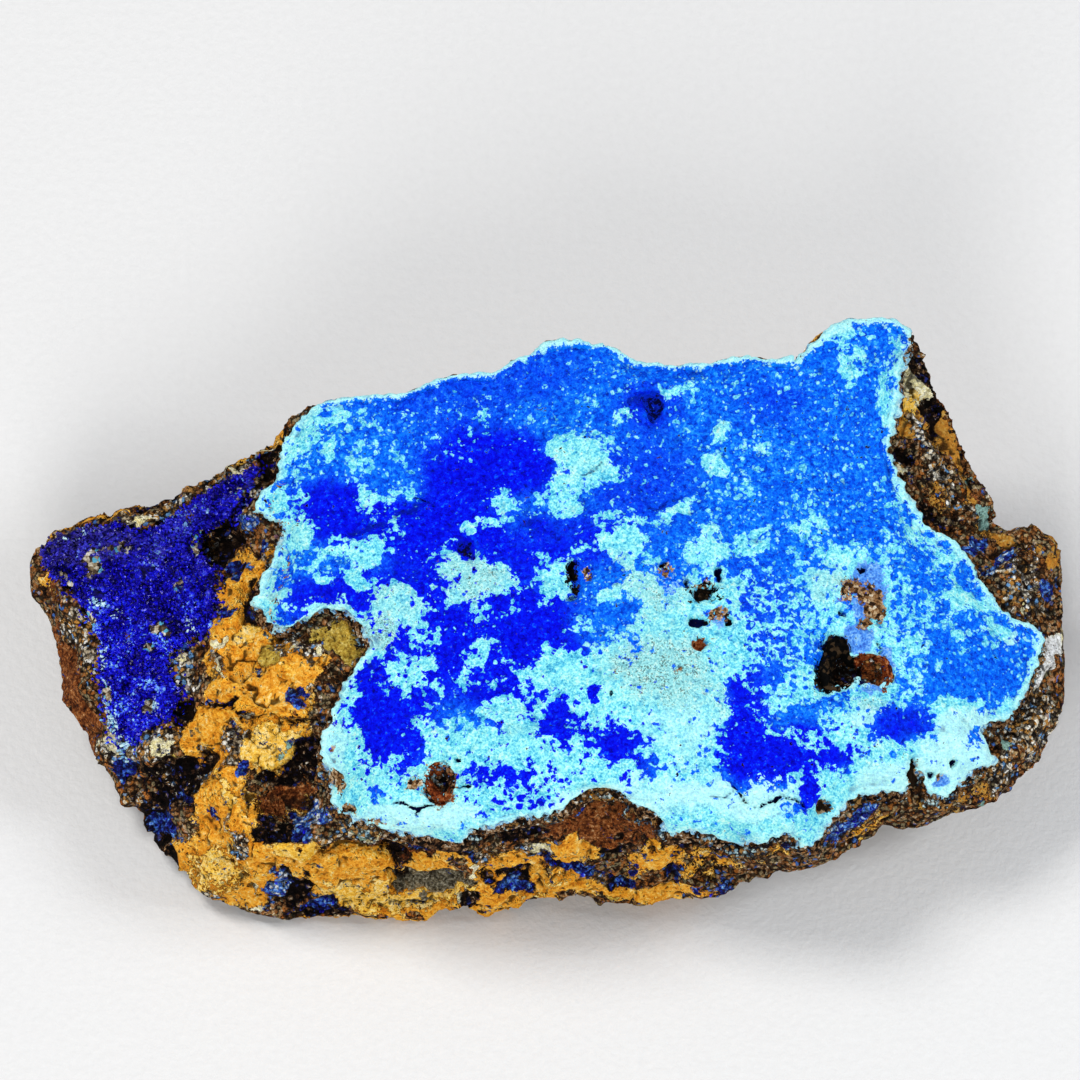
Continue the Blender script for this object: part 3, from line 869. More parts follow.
blue_patches = patches(crust_places, [
    (-17, -7.8, 2.2, 3.6, 10, 0.9), (-15.6, -11, 3.2, 2.2, 0.8), (-13.2, -8.2, 3, 1.4, 0.7),
    (-12.4, -12.8, 0.9, 1.2, 0.7), (-17, -13, 1.6, 1.2, 0.5), (-8.2, -2.4, 2, 2, 0.7),
    (-7.4, -7.9, 2.8, 1, 14, 0.8), (-6, -10.2, 2, 0.6, -14, 0.6), (-2.6, -1.4, 3.8, 2.2, 14, 0.8),
    (2.4, 0.6, 3.2, 1.2, 10, 0.7), (-4.6, 1.6, 1.4, 1.2, 0.6), (1.2, -9, 2.8, 1.4, -35, 0.7),
    (6.2, -12.2, 3.4, 1.7, -10, 0.9), (-3, -15.6, 3.6, 2, 0.28), (-1.6, -17.6, 1.6, 0.7, 10, 0.35),
    (10.2, -14.4, 1.3, 0.9, 0.7), (-2.2, 13.6, 3.6, 2.4, 10, 0.6), (-8.4, 11.8, 3.6, 2.6, 0.5),
    (-11.6, 8.2, 3.2, 2.2, 0.5), (-20, 10.6, 4.6, 2.6, -8, 0.4), (-10.6, 4.4, 2, 2.2, 0.7),
    (-22, 2.4, 3.6, 1.2, 12, 0.7), (-18, 1.6, 1.2, 1, 0.8), (0.6, 7.8, 4.6, 1.6, 8, 0.5),
    (-25.2, -0.4, 1.2, 0.8, 0.7), (21.6, -13.2, 3.8, 1.6, -5, 1), (19.2, -10, 2, 2.8, 10, 0.8),
    (18.2, -7, 1.4, 1.6, 0.5), (33.8, -10, 3.2, 1.7, 8, 1), (27.2, -13.2, 2.6, 1, -10, 0.8),
    (25.6, -16.4, 1, 1.7, 0.9), (20.4, -3.6, 2.2, 4.4, 8, 0.3), (24.4, -2.4, 3, 2, 0.2),
    (38.6, -3.6, 6.4, 4.2, 0.25), (40.6, 1.4, 3.6, 2.2, -30, 0.2), (16.4, -14.6, 0.9, 0.7, 0.4),
    (26.6, -3.2, 1.4, 1.2, 0.3), (4.8, -7.6, 0.7, 0.7, 0.9), (12, 3.6, 1.2, 1, 0.5),
    (-7, -15, 1.4, 1.2, 0.25), (0.8, -16.2, 1.4, 0.9, 0.3), (-16.6, -17, 0.9, 1.6, -20, 0.5),
    (11.4, 8.2, 2.2, 1.8, 0.5), (-14, 4.4, 3, 1.4, -20, 0.8), (-6, 6.6, 2.6, 1.4, 0.9),
    (4.6, 9.6, 1.8, 2.2, 0.7), (5.4, 4.2, 2.6, 1.8, 0.8), (3, -2.2, 3, 1.4, 0.7),
    (7, 0.8, 2.4, 1.6, 20, 0.7), (-10, -4.4, 1.8, 2.4, 0.8), (-4.4, -6, 2.8, 1.4, -20, 0.9),
    (-9.2, -10.2, 1.6, 1.2, 0.8), (0.8, -12.2, 2, 1.4, -30, 0.8), (24.2, -9.4, 2.8, 1.4, 0.7),
    (22.6, 7.8, 1.6, 1.2, 0.5), (12.8, 23.2, 3, 0.9, 0.5), (4.6, 18, 2.2, 2, 0.4),
    (-18.4, 15.6, 1.8, 2.6, -30, 0.5), (-14.6, 12.8, 3, 1, 0.5), (-24.6, 0.2, 1.6, 1.2, 0.7),
    (-13.8, -3, 2.6, 1.2, 0.6), (18.6, -15.4, 2, 1, 0.6), (22.4, -15.8, 1.4, 1.2, 0.6),
    (43.8, -7.4, 2.4, 1, 20, 0.5), (46.6, -3, 0.9, 2.4, 0.4), (31, 22.6, 1.4, 1.6, 0.5),
    (-21, 5.2, 2.4, 1, 0.6), (-21.4, 7.8, 1.2, 1, 0.4), (17, -11.4, 0.9, 1.6, 0.5),
    (35.2, -11.6, 1.6, 0.9, 0.4), (0.4, 21.8, 3, 1.6, 0.2), (37.2, -7.2, 1.4, 0.9, 0.6),
    (-17.2, 3.4, 1.4, 1, 0.6), (32.4, 15.4, 0.9, 2.6, 0.3), (-12, 21.6, 3, 1, 20, 0.4),
    (-5.6, 23, 2.6, 0.9, 8, 0.4), (3.6, 25.6, 2.8, 0.9, 0.4), (12, 24, 2.6, 0.8, 0.3),
    (19.5, 24.4, 2.4, 0.8, 0.4), (26.2, 25, 2, 1.4, -35, 0.6), (30.6, 27.2, 1.4, 0.8, 0.4),
    (32.2, 21.6, 0.9, 1.2, 0.4), (10.3, 20, 1.4, 1.2, 0.5), (4.2, 17.7, 2.2, 1.1, -15, 0.6),
    (14.4, 15.2, 1.4, 1, 0.4), (-24.2, 12, 1, 1.2, 0.4), (-18.4, 7.8, 2.8, 1, 0.7),
    (-25.2, 3.6, 1.8, 1.2, 0.7), (14, 7.4, 1.2, 1.8, -20, 0.7), (23, 4.8, 2.8, 1, 0.6),
    (22.3, 12.8, 1.4, 1.2, 0.3), (-2.6, 3.6, 1.8, 2.8, 30, 0.6), (-9, 0.5, 3.6, 1.3, 15, 0.7),
    (-12, 2.7, 1.4, 1.1, 0.5), (-2.2, -3.5, 1.6, 1.3, 20, 0.6), (-8.2, -7.2, 1.4, 1.3, 0.6),
    (-0.6, -9.4, 2, 1, -45, 0.6), (1.6, -11, 1.6, 0.9, -10, 0.5), (6.6, -1.6, 1.6, 1, 0.4),
    (8.8, -2.6, 1.2, 1.1, 0.5), (41.6, -5.6, 4.8, 2, 12, 0.9), (35, -7.4, 1.1, 1.3, 0.5),
    (26, -10.9, 2, 0.9, 10, 0.6), (28.4, -14.6, 1.4, 0.9, 0.5), (41.8, -11.6, 1, 1, 0.4),
    (26.8, -8.4, 1.6, 0.9, 0.3), (17.4, -13.6, 1, 1.1, 0.5), (-12.8, -12.6, 1.6, 1.4, 0.5),
    (-14.2, -14.4, 1.4, 1, 0.5), (-16.8, -16.6, 1.2, 1.2, 0.4), (-0.2, -18.4, 1.8, 0.8, 0.3),
    (23.8, -18.2, 1.2, 0.9, 0.5), (5.6, -14, 1.4, 0.8, 0.3), (-22.6, 18.4, 1.4, 1.2, -0.4),
    (-20, 17, 1.4, 2.4, -0.4), (-10.4, 5.5, 1.8, 1.2, -20, -0.7), (-18.4, 3, 1, 0.8, -0.4),
    (7.3, 6, 1.5, 1.1, -0.8), (6, 2, 1.1, 1.3, -0.7), (5.4, 13.6, 2.2, 1.3, -0.4),
    (10.6, 9, 1.8, 0.9, -0.4), (2.6, 11, 1.6, 1, -0.3), (-11.4, -3.8, 1.5, 1.1, -0.7),
    (-6, -2.2, 1.3, 0.8, -0.5), (-18.2, -13, 1.1, 1.1, -0.5), (18.8, -2.2, 0.9, 2.6, -0.6),
    (22.6, -8.4, 2.2, 0.9, -0.3), (26.2, -16.4, 0.8, 1.2, -0.3), (40.6, 1.5, 2.6, 1, -10, -0.8),
    (31.4, -1.4, 1.6, 1, -0.4), (30.8, 4, 1.8, 1, -10, -0.5), (32.8, 7.4, 1.6, 1.1, -0.5),
    (38, 5, 1.4, 0.9, -0.3), (-16.5, 0.8, 1.4, 2.2, 0.5), (-14, 7.3, 1.2, 1.2, 0.4),
    (-4.4, 8.5, 2.4, 0.9, 0.6), (0.6, 12, 1, 2, 0.5), (4.6, 17.6, 2, 1, 0.5), (10.4, 20.2, 1.4, 1.4, 0.5),
    (32, 21.4, 1.2, 1.6, 0.5), (28, 8, 3.2, 1.8, -20, 0.5), (20.7, 8.2, 1.4, 0.8, 0.4),
    (36.6, 6.4, 0.9, 1.2, 0.4), (23, 0.2, 1.6, 1.2, 0.4), (25.2, -4.2, 1.6, 1.2, 20, 0.5),
    (21.6, -7.2, 1.8, 1.8, -30, 0.5), (28, -8.2, 2.2, 0.9, -10, 0.5), (38, -2.8, 1.2, 1.6, -30, 0.5),
    (43, -8.6, 2.2, 0.8, 20, 0.4), (41.8, -11.6, 1, 1.4, 0.5), (1, -16.6, 1.6, 1.2, 0.3),
    (-5, -18.2, 1.6, 1, 0.3), (-7.2, -9.4, 1.4, 1, 0.4), (-12.6, -11, 1.2, 1, 0.4),
    (-5.4, -3.5, 1.2, 1.2, 0.5), (-13.4, -4.6, 1.4, 0.9, 0.3), (9.4, -11.2, 2.4, 0.9, 0.3),
    (13.2, 6.4, 1.6, 1, 30, 0.4), (7, 10.2, 1.8, 1, 0.4), (-18.8, -10.4, 1, 1.6, 0.4),
    (27.4, 16, 1.4, 2.4, 0.3), (-3, -15.6, 3.2, 1.8, 0.15), (-26.4, 10.6, 1.4, 1.4, -0.7),
    (-25, 16, 1, 1.8, -0.5), (-22.4, 19.4, 1.2, 1, -0.4), (-25.4, 1.6, 1.2, 1.4, -0.5),
    (-21.6, 4.4, 1.2, 1.6, -0.4), (-8.2, 1.2, 2, 1.2, -0.4), (-2.2, 3.2, 1.6, 1.4, -20, -0.5),
    (7.6, -0.4, 1.4, 1.4, 20, -0.2), (24.6, 11, 1.4, 1, -0.3), (-18.4, -7.6, 1, 1, -0.5),
    (-13.4, -13.4, 1.4, 1.2, -0.3), (-16.4, -16.2, 1, 1.4, -0.5), (0.4, -12.2, 1.4, 1.4, -0.5),
    (5.2, -13.8, 1.2, 1.2, -0.5), (-0.4, -8.8, 1, 0.8, -0.4), (18.6, -15.6, 1.8, 1, -30, 0.3),
    (-18.2, 3, 1.2, 1, -0.4), (25, -18.4, 1.6, 1, 0.3), (39.8, 6.4, 1.2, 1, -0.6), (-22.6, 1.6, 1, 1, -0.4),
    (35.6, -6.8, 1.4, 1, -0.4), (33.8, 11.6, 1.2, 1.6, 30, -0.4), (28.4, 27, 1.4, 1, 30, -0.6),
    (33.9, 24.4, 0.7, 2.4, -0.6), (30.4, 3.8, 1.2, 0.8, -0.4), (18.4, 5.2, 1.2, 1.2, 0.3),
    (42.4, 1.6, 1.8, 0.8, -35, -0.4), (11.2, 9.4, 1.2, 1, -0.3), (20, -1.6, 1.2, 1.2, -0.3),
    (21.6, -5.2, 2.4, 0.9, 0.6), (-2.6, -15, 2, 2, 0.4), (-6.8, -14.2, 1.4, 1.2, 0.5),
    (32.3, 22, 0.9, 2.6, -15, 0.7), (-23.6, 14, 1.4, 2.6, 0.4), (-11.4, 22.6, 2.6, 0.9, 15, 0.4),
    (5, 17.4, 1.4, 1.2, 0.5), (12.2, 2, 1.2, 1, 0.5), (-10.4, 2.4, 1.2, 1.2, 0.6),
    (19.4, 24.4, 2.6, 1.2, 0.3), (25.2, 25.4, 1.2, 1.2, 30, 0.5), (23, -10.4, 2.4, 1.6, 0.4),
    (42.2, -11.6, 0.9, 1.4, 0.5), (-27, 4.2, 1.6, 1, -0.5), (-4.2, 3.6, 1.2, 1.4, -0.6),
    (-6.4, -3.4, 1.6, 1.2, 30, -0.5), (-3.8, -6.4, 2, 0.9, -0.5), (-0.6, -8.8, 1, 1.2, -0.5),
    (3.2, -11.6, 1.4, 1.2, -30, -0.5), (-9.2, -10.8, 1.6, 1, -20, -0.5), (-18.6, -11.2, 1.4, 0.9, -0.5),
    (-0.4, -16.4, 1, 1, -0.5), (41.4, 6.8, 1.6, 1.2, -30, -0.6), (28.6, -0.8, 1.2, 0.9, 30, -0.4),
    (34.8, -2.8, 2, 1, -0.5), (40, -8, 2.2, 0.9, -0.4), (37.8, -15.8, 1.2, 1, -0.6),
    (19.4, 12.4, 1.2, 1, -30, -0.4), (7.4, 4.4, 1.8, 0.9, -10, -0.5), (-6.2, 20.4, 1.2, 0.9, -0.4),
    (0.8, 15.2, 1.6, 1, -0.4), (-20.8, 15.2, 1, 1.8, -0.4), (-17.2, 16.4, 1.2, 1, -0.4),
    (35.6, 8.6, 0.8, 2, -0.3),
])
# How much of the surface is blue, from 0 to 1: most of the upper part and the right, little of the lower.
upper = 1 / (1 + np.exp(-(crust_places[:, 1] - 3.5 + 0.10 * crust_places[:, 0]) / 2.6))
blue = np.clip(0.24 + 0.70 * upper + blue_patches, 0, 1.2)
blue -= (0.2 + 0.75 * upper) * np.clip(pale_patches, 0, 1.2)
blue -= (0.7 - 0.4 * upper) * np.exp(-((edge_distance / 0.3) ** 2))
blue = np.where(on_top > 0.15, blue, 0.05)
deep = 0.12 + patches(crust_places, [
    (-5.5, 14.5, 7, 4, 0.9), (-20, 10, 5.5, 3.4, -10, 0.8), (-10.5, 8, 6, 4, 0.8),
    (-17.5, 1.5, 9, 3.4, 0.8), (-16.5, -9.5, 6, 7, 1), (-5.5, -1.5, 9, 6, 15, 0.9),
    (2.5, -9.5, 9, 6, -20, 0.9), (-2, -16, 10, 3.4, 1), (21, -13.2, 5, 3, 1), (19, -9.5, 2.6, 4, 0.6),
    (27, -12.6, 4, 2.6, 0.7), (34, -10.2, 3.2, 2, 0.6), (25.8, -17, 1.8, 2.4, 0.8), (0.8, 7.2, 8, 3, 0.6),
    (9, 13, 6, 5, 0.4), (10, 20.4, 3.4, 2.6, 0.5), (22, 20.6, 4, 2.4, 0.3), (-6, 22, 12, 3.4, 12, 0.35),
    (20, -1, 5, 7, 0.35), (36.8, -15.6, 2, 1, 0.3),
])
specks = patches(crust_places, [
    (-14, 1.4, 4.4, 2.6, 0.8), (-7, 3.6, 4, 3, 1), (-16.4, -1.6, 2.6, 1.6, 1.2), (12, -5.6, 4.6, 3.4, 1.3),
    (9, -3, 5, 3.6, 0.8), (11, 3, 4.4, 2.6, 1), (3.4, 14.6, 3, 2.4, 0.5), (-3.6, -10.6, 3.2, 0.9, 0.6),
    (14.6, -13.4, 2.2, 2.6, 0.6), (23.6, -9.6, 2.2, 1, 0.8), (31.4, -8.6, 1.8, 1.4, 0.9),
    (32, -13.4, 2.6, 1.6, 0.5), (27, 3.2, 2.2, 2.2, 0.8), (-25.8, 2.8, 1.6, 1.6, 0.9),
    (-23.6, 8.2, 2, 1.4, 0.6), (-13, -15.4, 2.2, 1.4, 0.7), (5.6, 4.6, 2.4, 2, 0.9),
    (-20.4, -14.6, 0.7, 2.4, 0.4), (17.4, -8.4, 1.8, 2.2, 0.7), (20.6, -17.6, 5, 1.4, 0.4),
])
stain = patches(small_places, [
    (31.6, 1.4, 1.3, 2.2, 20, 1.3), (29.2, 2.8, 1.2, 1.6, -30, 1), (30.6, -0.6, 0.9, 0.8, 1),
    (15.2, 2.8, 1.3, 1.1, 30, 0.9), (16.6, 0.4, 1.4, 1, 0.9), (14.9, -2.4, 1, 0.7, 20, 1.2),
    (2.6, 3.8, 0.8, 1.4, 0.7), (4, 4.2, 0.6, 0.8, 0.9), (11.6, 4.6, 1, 0.9, -50, 0.9),
    (-12.6, -15.6, 1, 0.8, 0.8), (-10.2, -16.2, 1.7, 2.5, 1), (-20.4, -15.6, 0.9, 0.8, 0.8),
    (-13, -16.4, 1.2, 1, 0.4), (26.8, -18.3, 0.9, 0.8, 1.3), (35.4, -15.4, 0.6, 2.2, 1.1),
    (7, -5.4, 1.2, 1, 0.4), (12.8, -4.6, 0.9, 1.2, 0.5), (-25, 8.8, 1.6, 0.8, 20, 0.6),
    (-17.4, -20, 2, 0.4, 0.5), (-19.4, -18.6, 0.9, 0.8, 0.7), (38, -15.4, 0.6, 0.6, 0.9),
])
# The left edge has crumbled and holds grains of the rock.
stain += strokes(small_places, [
    (0.55, 0.8, [(-25.6, 12.6), (-27.2, 9.2), (-25.8, 6.6), (-25.4, 4.6), (-26.6, 0.6), (-25.4, -1.6),
                 (-23.6, -2.6)]),
    (0.5, 0.6, [(-20.6, -10), (-20.8, -15), (-19.6, -18.4), (-14, -20.4)]),
])
# Inside the two largest holes the crust is stained black and rust red.
black = patches(small_places, [
    (27.8, -2.8, 1.4, 1.3, 1), (27.4, -5.4, 1.7, 1.6, 1.2), (28.8, -4.6, 0.9, 1.6, 20, 0.8),
    (15.4, 2.4, 2.4, 1.2, 0.6), (2.6, 4.2, 0.8, 1.6, 0.8),
])
rusty = patches(small_places, [
    (30.6, -4.4, 1.5, 1, 1.1), (31.8, -5.2, 1.1, 1.3, 1), (32.6, -6.6, 0.5, 0.7, 0.8),
    (-10.6, -15.4, 1.1, 1.2, 20, 0.8), (-9.9, -17, 0.8, 1.3, 0.8), (15, -2.4, 1, 0.7, 20, 0.8),
])
bright_blue = patches(small_places, [
    (31, 2.6, 2, 3, 1.2), (30, -2, 1.6, 1.6, 20, 1.3), (32.8, -4.4, 0.7, 1.6, 1.3),
    (16.6, 0.2, 1, 1.4, 0.8), (12, 3.4, 1.4, 1.2, 0.5), (31.4, -6.8, 1.4, 0.6, 0.8),
    (38, -15.9, 1, 0.6, 20, 1.2),
])
pits = patches(small_places, [
    (27.8, -2.8, 1.2, 1.2, 1.6), (27.6, -5.2, 1.5, 1.5, 1.4), (31.2, -5.2, 1.7, 1.2, 1),
    (-10.4, -16, 1, 1.7, 0.8), (10.4, 19.8, 0.8, 1, 0.6), (9.4, 21, 1.8, 0.7, 10, 0.45),
    (-7.7, 6.6, 0.8, 1.4, 30, 0.55), (16.6, 4.3, 0.4, 0.6, -20, 1.5), (15.2, 2.6, 0.9, 0.5, 20, 1.5),
    (14.8, -0.2, 0.8, 0.5, -10, 1.3), (17.6, -0.3, 0.4, 0.3, 1.2), (2.6, 4.6, 0.3, 0.7, 1.5),
    (2.7, 3, 0.3, 0.5, 1.4), (15, -2.4, 0.6, 0.4, 0.7), (30.5, 4.6, 0.5, 0.3, 1),
    (-8.8, -13.5, 0.4, 0.2, -20, 1), (-7.9, -16, 0.6, 0.3, 1), (26.8, -18.3, 0.8, 0.6, 0.8),
    (39.3, -14.2, 0.4, 0.3, 1.3), (36.9, -15.2, 0.5, 0.4, 0.9), (28.6, 0.6, 0.5, 0.3, -50, 0.9),
    (6.2, -7.4, 0.2, 0.3, 0.8), (-1.8, 9.8, 1, 0.9, 0.35), (-13, 10.4, 1.6, 0.4, 15, 0.4),
    (-17.2, 8.6, 2.2, 0.5, 15, 0.35), (14.6, 23.4, 1.2, 0.6, 0.35), (26.4, 23.6, 0.6, 0.5, 0.3),
    (2.4, 2, 0.8, 0.4, 0.6), (11.3, 5.2, 0.3, 0.3, 0.8), (13.7, 3.4, 0.3, 0.5, 30, 0.8),
    (35.4, -15.4, 0.4, 2, 1.3),
])
cracks = strokes(small_places, [
    (1, 0.16, [(-14.6, -18), (-13, -18.3), (-12.2, -18.6), (-11.4, -18.3), (-10.8, -17.9)]),
    (0.8, 0.1, [(-12.3, -18.5), (-12.3, -19.1)]),
    (0.9, 0.1, [(17.8, -15.8), (19, -17.8), (19.5, -18.3), (20.6, -17.9)]),
    (0.9, 0.15, [(20.4, -17.9), (21.4, -17.6), (22.4, -17.3)]),
    (1, 0.13, [(22, -17.4), (22.8, -17.1), (24, -17.6), (25, -18.1)]),
    (0.6, 0.08, [(15.8, -17.2), (17.2, -17.2), (17.9, -16.8)]),
    (0.7, 0.09, [(31.9, -2.4), (32.4, -3.2), (33, -3.9)]),
    (0.8, 0.12, [(32.2, -3.4), (33.2, -4.4), (33.4, -5.4), (33.2, -6)]),
    (0.7, 0.12, [(-12.8, 11.4), (-11.6, 11.3), (-10.6, 10.6)]),
    (0.5, 0.12, [(3.4, 13.4), (4.6, 14), (5.4, 14.9)]),
    (0.5, 0.12, [(9.6, 10.2), (11.4, 10.9), (13, 11.6)]),
])
knobs = patches(small_places, [
    (3.4, 15.4, 3.6, 3, 20, 0.7), (-14.2, 1.4, 4.6, 2.6, 8, 0.6), (-7.2, 3.4, 3.8, 3, 0.6),
    (-16.6, 6.4, 2.2, 1.7, 20, 0.6), (-20, 6.6, 1.8, 1.4, 0.5), (-18.2, 3.8, 1.8, 1.5, 0.5),
    (16.9, 17.7, 1.3, 0.9, 50, 0.5), (16.4, 14.6, 1.9, 1.1, -35, 0.4), (12.9, 10.6, 1.7, 0.8, 32, 0.4),
    (8, 18, 2.2, 1.6, 0.5), (15.2, 6.4, 2.2, 1.6, 0.3), (7, 7.6, 3.2, 1.9, 0.3),
    (39.4, -13.4, 3.4, 2.9, 0.5), (33, -14.4, 2.8, 2.2, 0.4), (21, -19, 4.4, 1.6, 0.35),
    (-5.4, 11.4, 1.8, 1.2, 60, 0.35), (12.2, 21.9, 2.2, 1.2, 10, 0.4), (29.4, 25.6, 2.6, 2.2, 60, 0.4),
    (-23.2, 8.2, 1.9, 1.3, 0.4), (-14.4, 8.6, 1.1, 0.9, 40, 0.4), (28.6, 6.2, 2.8, 1.5, 0.3),
    (31, -8.4, 2.6, 1.4, 0.4), (-12, -19.4, 5, 1.4, 0.3), (10, -7, 5, 4, 0.3), (38.4, -9, 2.2, 1.2, 0.25),
    (-3, -16, 4, 2.2, 0.2),
])
# Along the front and in a few other places the pale crust is nearly white.
white = patches(crust_places, [
    (-14, -19.6, 6, 2, 0.8), (-10, -18.8, 4, 1.4, 0.6), (10, -17.4, 6, 2.2, 5, 0.7),
    (20, -17.2, 6, 2.4, 0.9), (33, -16, 3.6, 2.2, 0.9), (40.2, -13.6, 4.6, 3.8, 1),
    (40.6, -10.4, 3, 2, 0.7), (2.6, -17.8, 4, 1, 20, 0.7), (-20.6, -12.6, 1.4, 5, 0.7),
    (-27.4, 6, 1.6, 5, 0.5), (-22, 1.6, 4, 1, 0.5), (46, -1.6, 1, 4, -40, 0.6), (13, -10.4, 4.6, 4, 0.5),
    (31, -9.6, 3.4, 1.2, 0.7), (27.4, 3.4, 3, 2.4, 0.4),
])
# In some places the blue is scattered as separate dots.
dotted = patches(crust_places, [
    (-3, -15.8, 6, 3.2, 1), (20, 0, 6, 8, 0.8), (24, -8, 6, 4, 0.9), (30, -12.6, 5, 2.4, 0.9),
    (-25, 12.6, 3, 6, 0.9), (-20, -14, 2.4, 4, 0.5), (6, -11.6, 5, 2.4, -30, 0.6), (37, 0, 5, 6, 0.6),
    (-14, 12, 8, 4, 0.4), (30, 24.4, 3.4, 3, 60, 0.6), (16, -13, 4, 3, 0.6), (-12, -6, 5, 3, 0.4),
])
stain_relief = np.clip(stain, 0, 1) * (0.3 + 0.35 * rough(crust_points, 0.8, 2, 3.0))
relief = 0.35 * rough(crust_points, 5.0, 3, 1.0) + 0.24 * rough(crust_points, 1.9, 3, 4.0)
relief += 0.10 * (crags(crust_points, 0.95, 6.0) - 0.45) + 0.06 * rough(crust_points, 0.55, 2, 7.0)
relief += 0.8 * knobs - 1.3 * np.clip(pits, 0, 1.2) - 0.8 * np.clip(cracks, 0, 1) - stain_relief
relief -= crust_growth
# The crust is worn thin along parts of its edge.
worn = np.clip(0.3 + rough(crust_points, 2.6, 2, 33.0), 0, 1)
relief -= 0.35 * np.exp(-((edge_distance / 0.9) ** 2)) * worn
relief = np.maximum(relief, -0.6 * room_under(crust, crust_points, crust_normals)) * on_top
near_hole = patches(small_places, [(30.1, -4.9, 4.4, 3.4, 1), (-10.2, -16.4, 2.4, 3, 1)])
# How deep a point lies under the crust's face, where grains of the rock cling to the broken wall.
crust_faces = [p for p in crust_solid.polygons if p.normal.dot(crust_up) > 0.6]
depth = distance_to(tree_of(crust_corners, crust_faces), crust_points)
wall_depth = np.clip((0.6 - facing) / 0.6, 0, 1) * np.clip(depth, 0, 1.5)
# The broken wall is uneven, and the hidden underside is sunk a little into the rock.
wall = np.clip(1 - np.abs(facing) / 0.6, 0, 1)
swell = -0.15 + 0.35 * crust_normals[:, 1] + 0.2 * crust_normals[:, 0] - 0.3 * near_hole
swell += patches(crust_places, [
    (28, 26.5, 8, 3, 0.4), (5.7, -18, 3.6, 2, -0.8), (24.4, 25, 2.6, 2, 0.6), (1, 26.4, 2, 1.6, 0.6),
])
chipped = 0.7 * rough(crust_points, 1.6, 3, 11.0) + 0.5 * rough(crust_points, 0.7, 2, 15.0)
chipped -= 0.8 * np.clip(crags(crust_points, 1.7, 25.0) - 0.45, 0, 1)
chipped += near_hole * (1.2 * rough(crust_points, 1.1, 2, 44.0) - 0.2)
relief += wall * (swell + chipped * (1 - 0.6 * np.clip(crust_normals[:, 1], 0, 1)))
sunk = np.clip(-facing / 0.5, 0, 1) * 0.5
carved = crust_points + crust_normals * (relief + sunk)[:, None]
carve(crust, carved)

for name, values in (
    ("blue", blue), ("deep", np.clip(deep, 0, 1)), ("specks", np.clip(specks, 0, 1.4)),
    ("stain", np.clip(stain, 0, 1.3)), ("bright_blue", np.clip(bright_blue, 0, 1.2)),
    ("pits", np.clip(np.maximum(pits, cracks), 0, 1.3)), ("rim", np.exp(-((edge_distance / 0.4) ** 2))),
    ("edge", wall), ("depth", wall_depth), ("black", np.clip(black, 0, 1.3)),
    ("rusty", np.clip(rusty, 0, 1.3)), ("white", np.clip(white, 0, 1)), ("dotted", np.clip(dotted, 0, 1)),
):
    keep_field(crust, name, values)
keep_field(crust, "hollow", np.clip(hollows(crust, carved, 6) / 0.14, -1.5, 1.5))

skin = Finish("gibbsite_skin")
lace = skin.clouds(1.9, 4.0, 0.74, distortion=0.3) * 0.9
mottle = skin.clouds(1.2, 1.5, 0.5, distortion=0.5)
blot = skin.clouds(0.58, 2.0, 0.6, distortion=0.4)
dust = skin.clouds(0.22, 2.0, 0.6)
crystal_tone = skin.channel(skin.grains(0.34, "Color"), "Red")
uneven_skin = skin.unevenly(2.2, 0.55)
shifted = skin.along(uneven_skin, "ADD", {1: (31.0, 17.0, 5.0)})
deep_level = (skin.field("deep") + lace * 0.12 + blot * 0.12).steps(0.05, 0.85)
# Blue runs together where there is much of it, with pale spots left in it, and is scattered as spots
# elsewhere.
blue_level = skin.field("blue") * 0.97 + lace * 0.12 + mottle * 0.42 + blot * 0.36 + dust * 0.12
dotted = skin.field("dotted")
blue_mask = (blue_level - dotted * 0.24).steps(0.44, 0.56)
for size in (1.05, 0.6):
    blue_spots = skin.spots(size, 0.75, (blue_level + dotted * 0.22).steps(-0.2, 0.55) * 0.62, uneven_skin)
    blue_mask = blue_mask + blue_spots - blue_mask * blue_spots
for size in (0.8, 0.45):
    pale_spots = skin.spots(size, 0.7, (1.5 - blue_level - deep_level * 0.3).steps(0.0, 0.9) * 0.58, shifted)
    blue_mask = blue_mask * (1 - pale_spots * 0.85)
azure_tint = skin.ramp(
    dust * 0.25 + blot * 0.3 + crystal_tone * 0.35 + 0.33,
    [(0, (0, 0.015, 0.36)), (0.35, (0, 0.075, 0.78)), (0.65, (0.002, 0.19, 0.95)), (1, (0.06, 0.52, 0.97))],
)
deep_tint = skin.ramp(
    dust * 0.25 + blot * 0.3 + crystal_tone * 0.35 + 0.33,
    [(0, (0, 0, 0.2)), (0.4, (0, 0.001, 0.7)), (0.75, (0, 0.012, 0.94)), (1, (0.005, 0.17, 0.96))],
)
blue_colour = skin.mix(deep_level, azure_tint, deep_tint)
pale_colour = skin.ramp(
    dust * 0.36 + blot * 0.2 + lace * 0.22 + crystal_tone * 0.28 + 0.35,
    [(0, (0.01, 0.2, 0.5)), (0.26, (0.08, 0.54, 0.78)), (0.58, (0.29, 0.87, 0.88)), (1, (0.66, 0.99, 0.9))],
)
grey_pale = skin.ramp(
    dust * 0.35 + blot * 0.2 + crystal_tone * 0.2 + 0.42,
    [(0, (0.05, 0.15, 0.18)), (0.25, (0.18, 0.52, 0.6)), (0.55, (0.34, 0.78, 0.8)),
     (1, (0.75, 0.95, 0.86))],
)
speck_field = skin.field("specks")
whiteness = (skin.field("white") + lace * 0.3).steps(0.1, 0.9) * 0.48
pale_colour = skin.mix(whiteness, pale_colour, (0.66, 0.99, 0.94))
pale_colour = skin.mix((speck_field + lace * 0.4).steps(0.2, 1.3), pale_colour, grey_pale)
pinholes = skin.clouds(0.17, 2.0, 0.6)
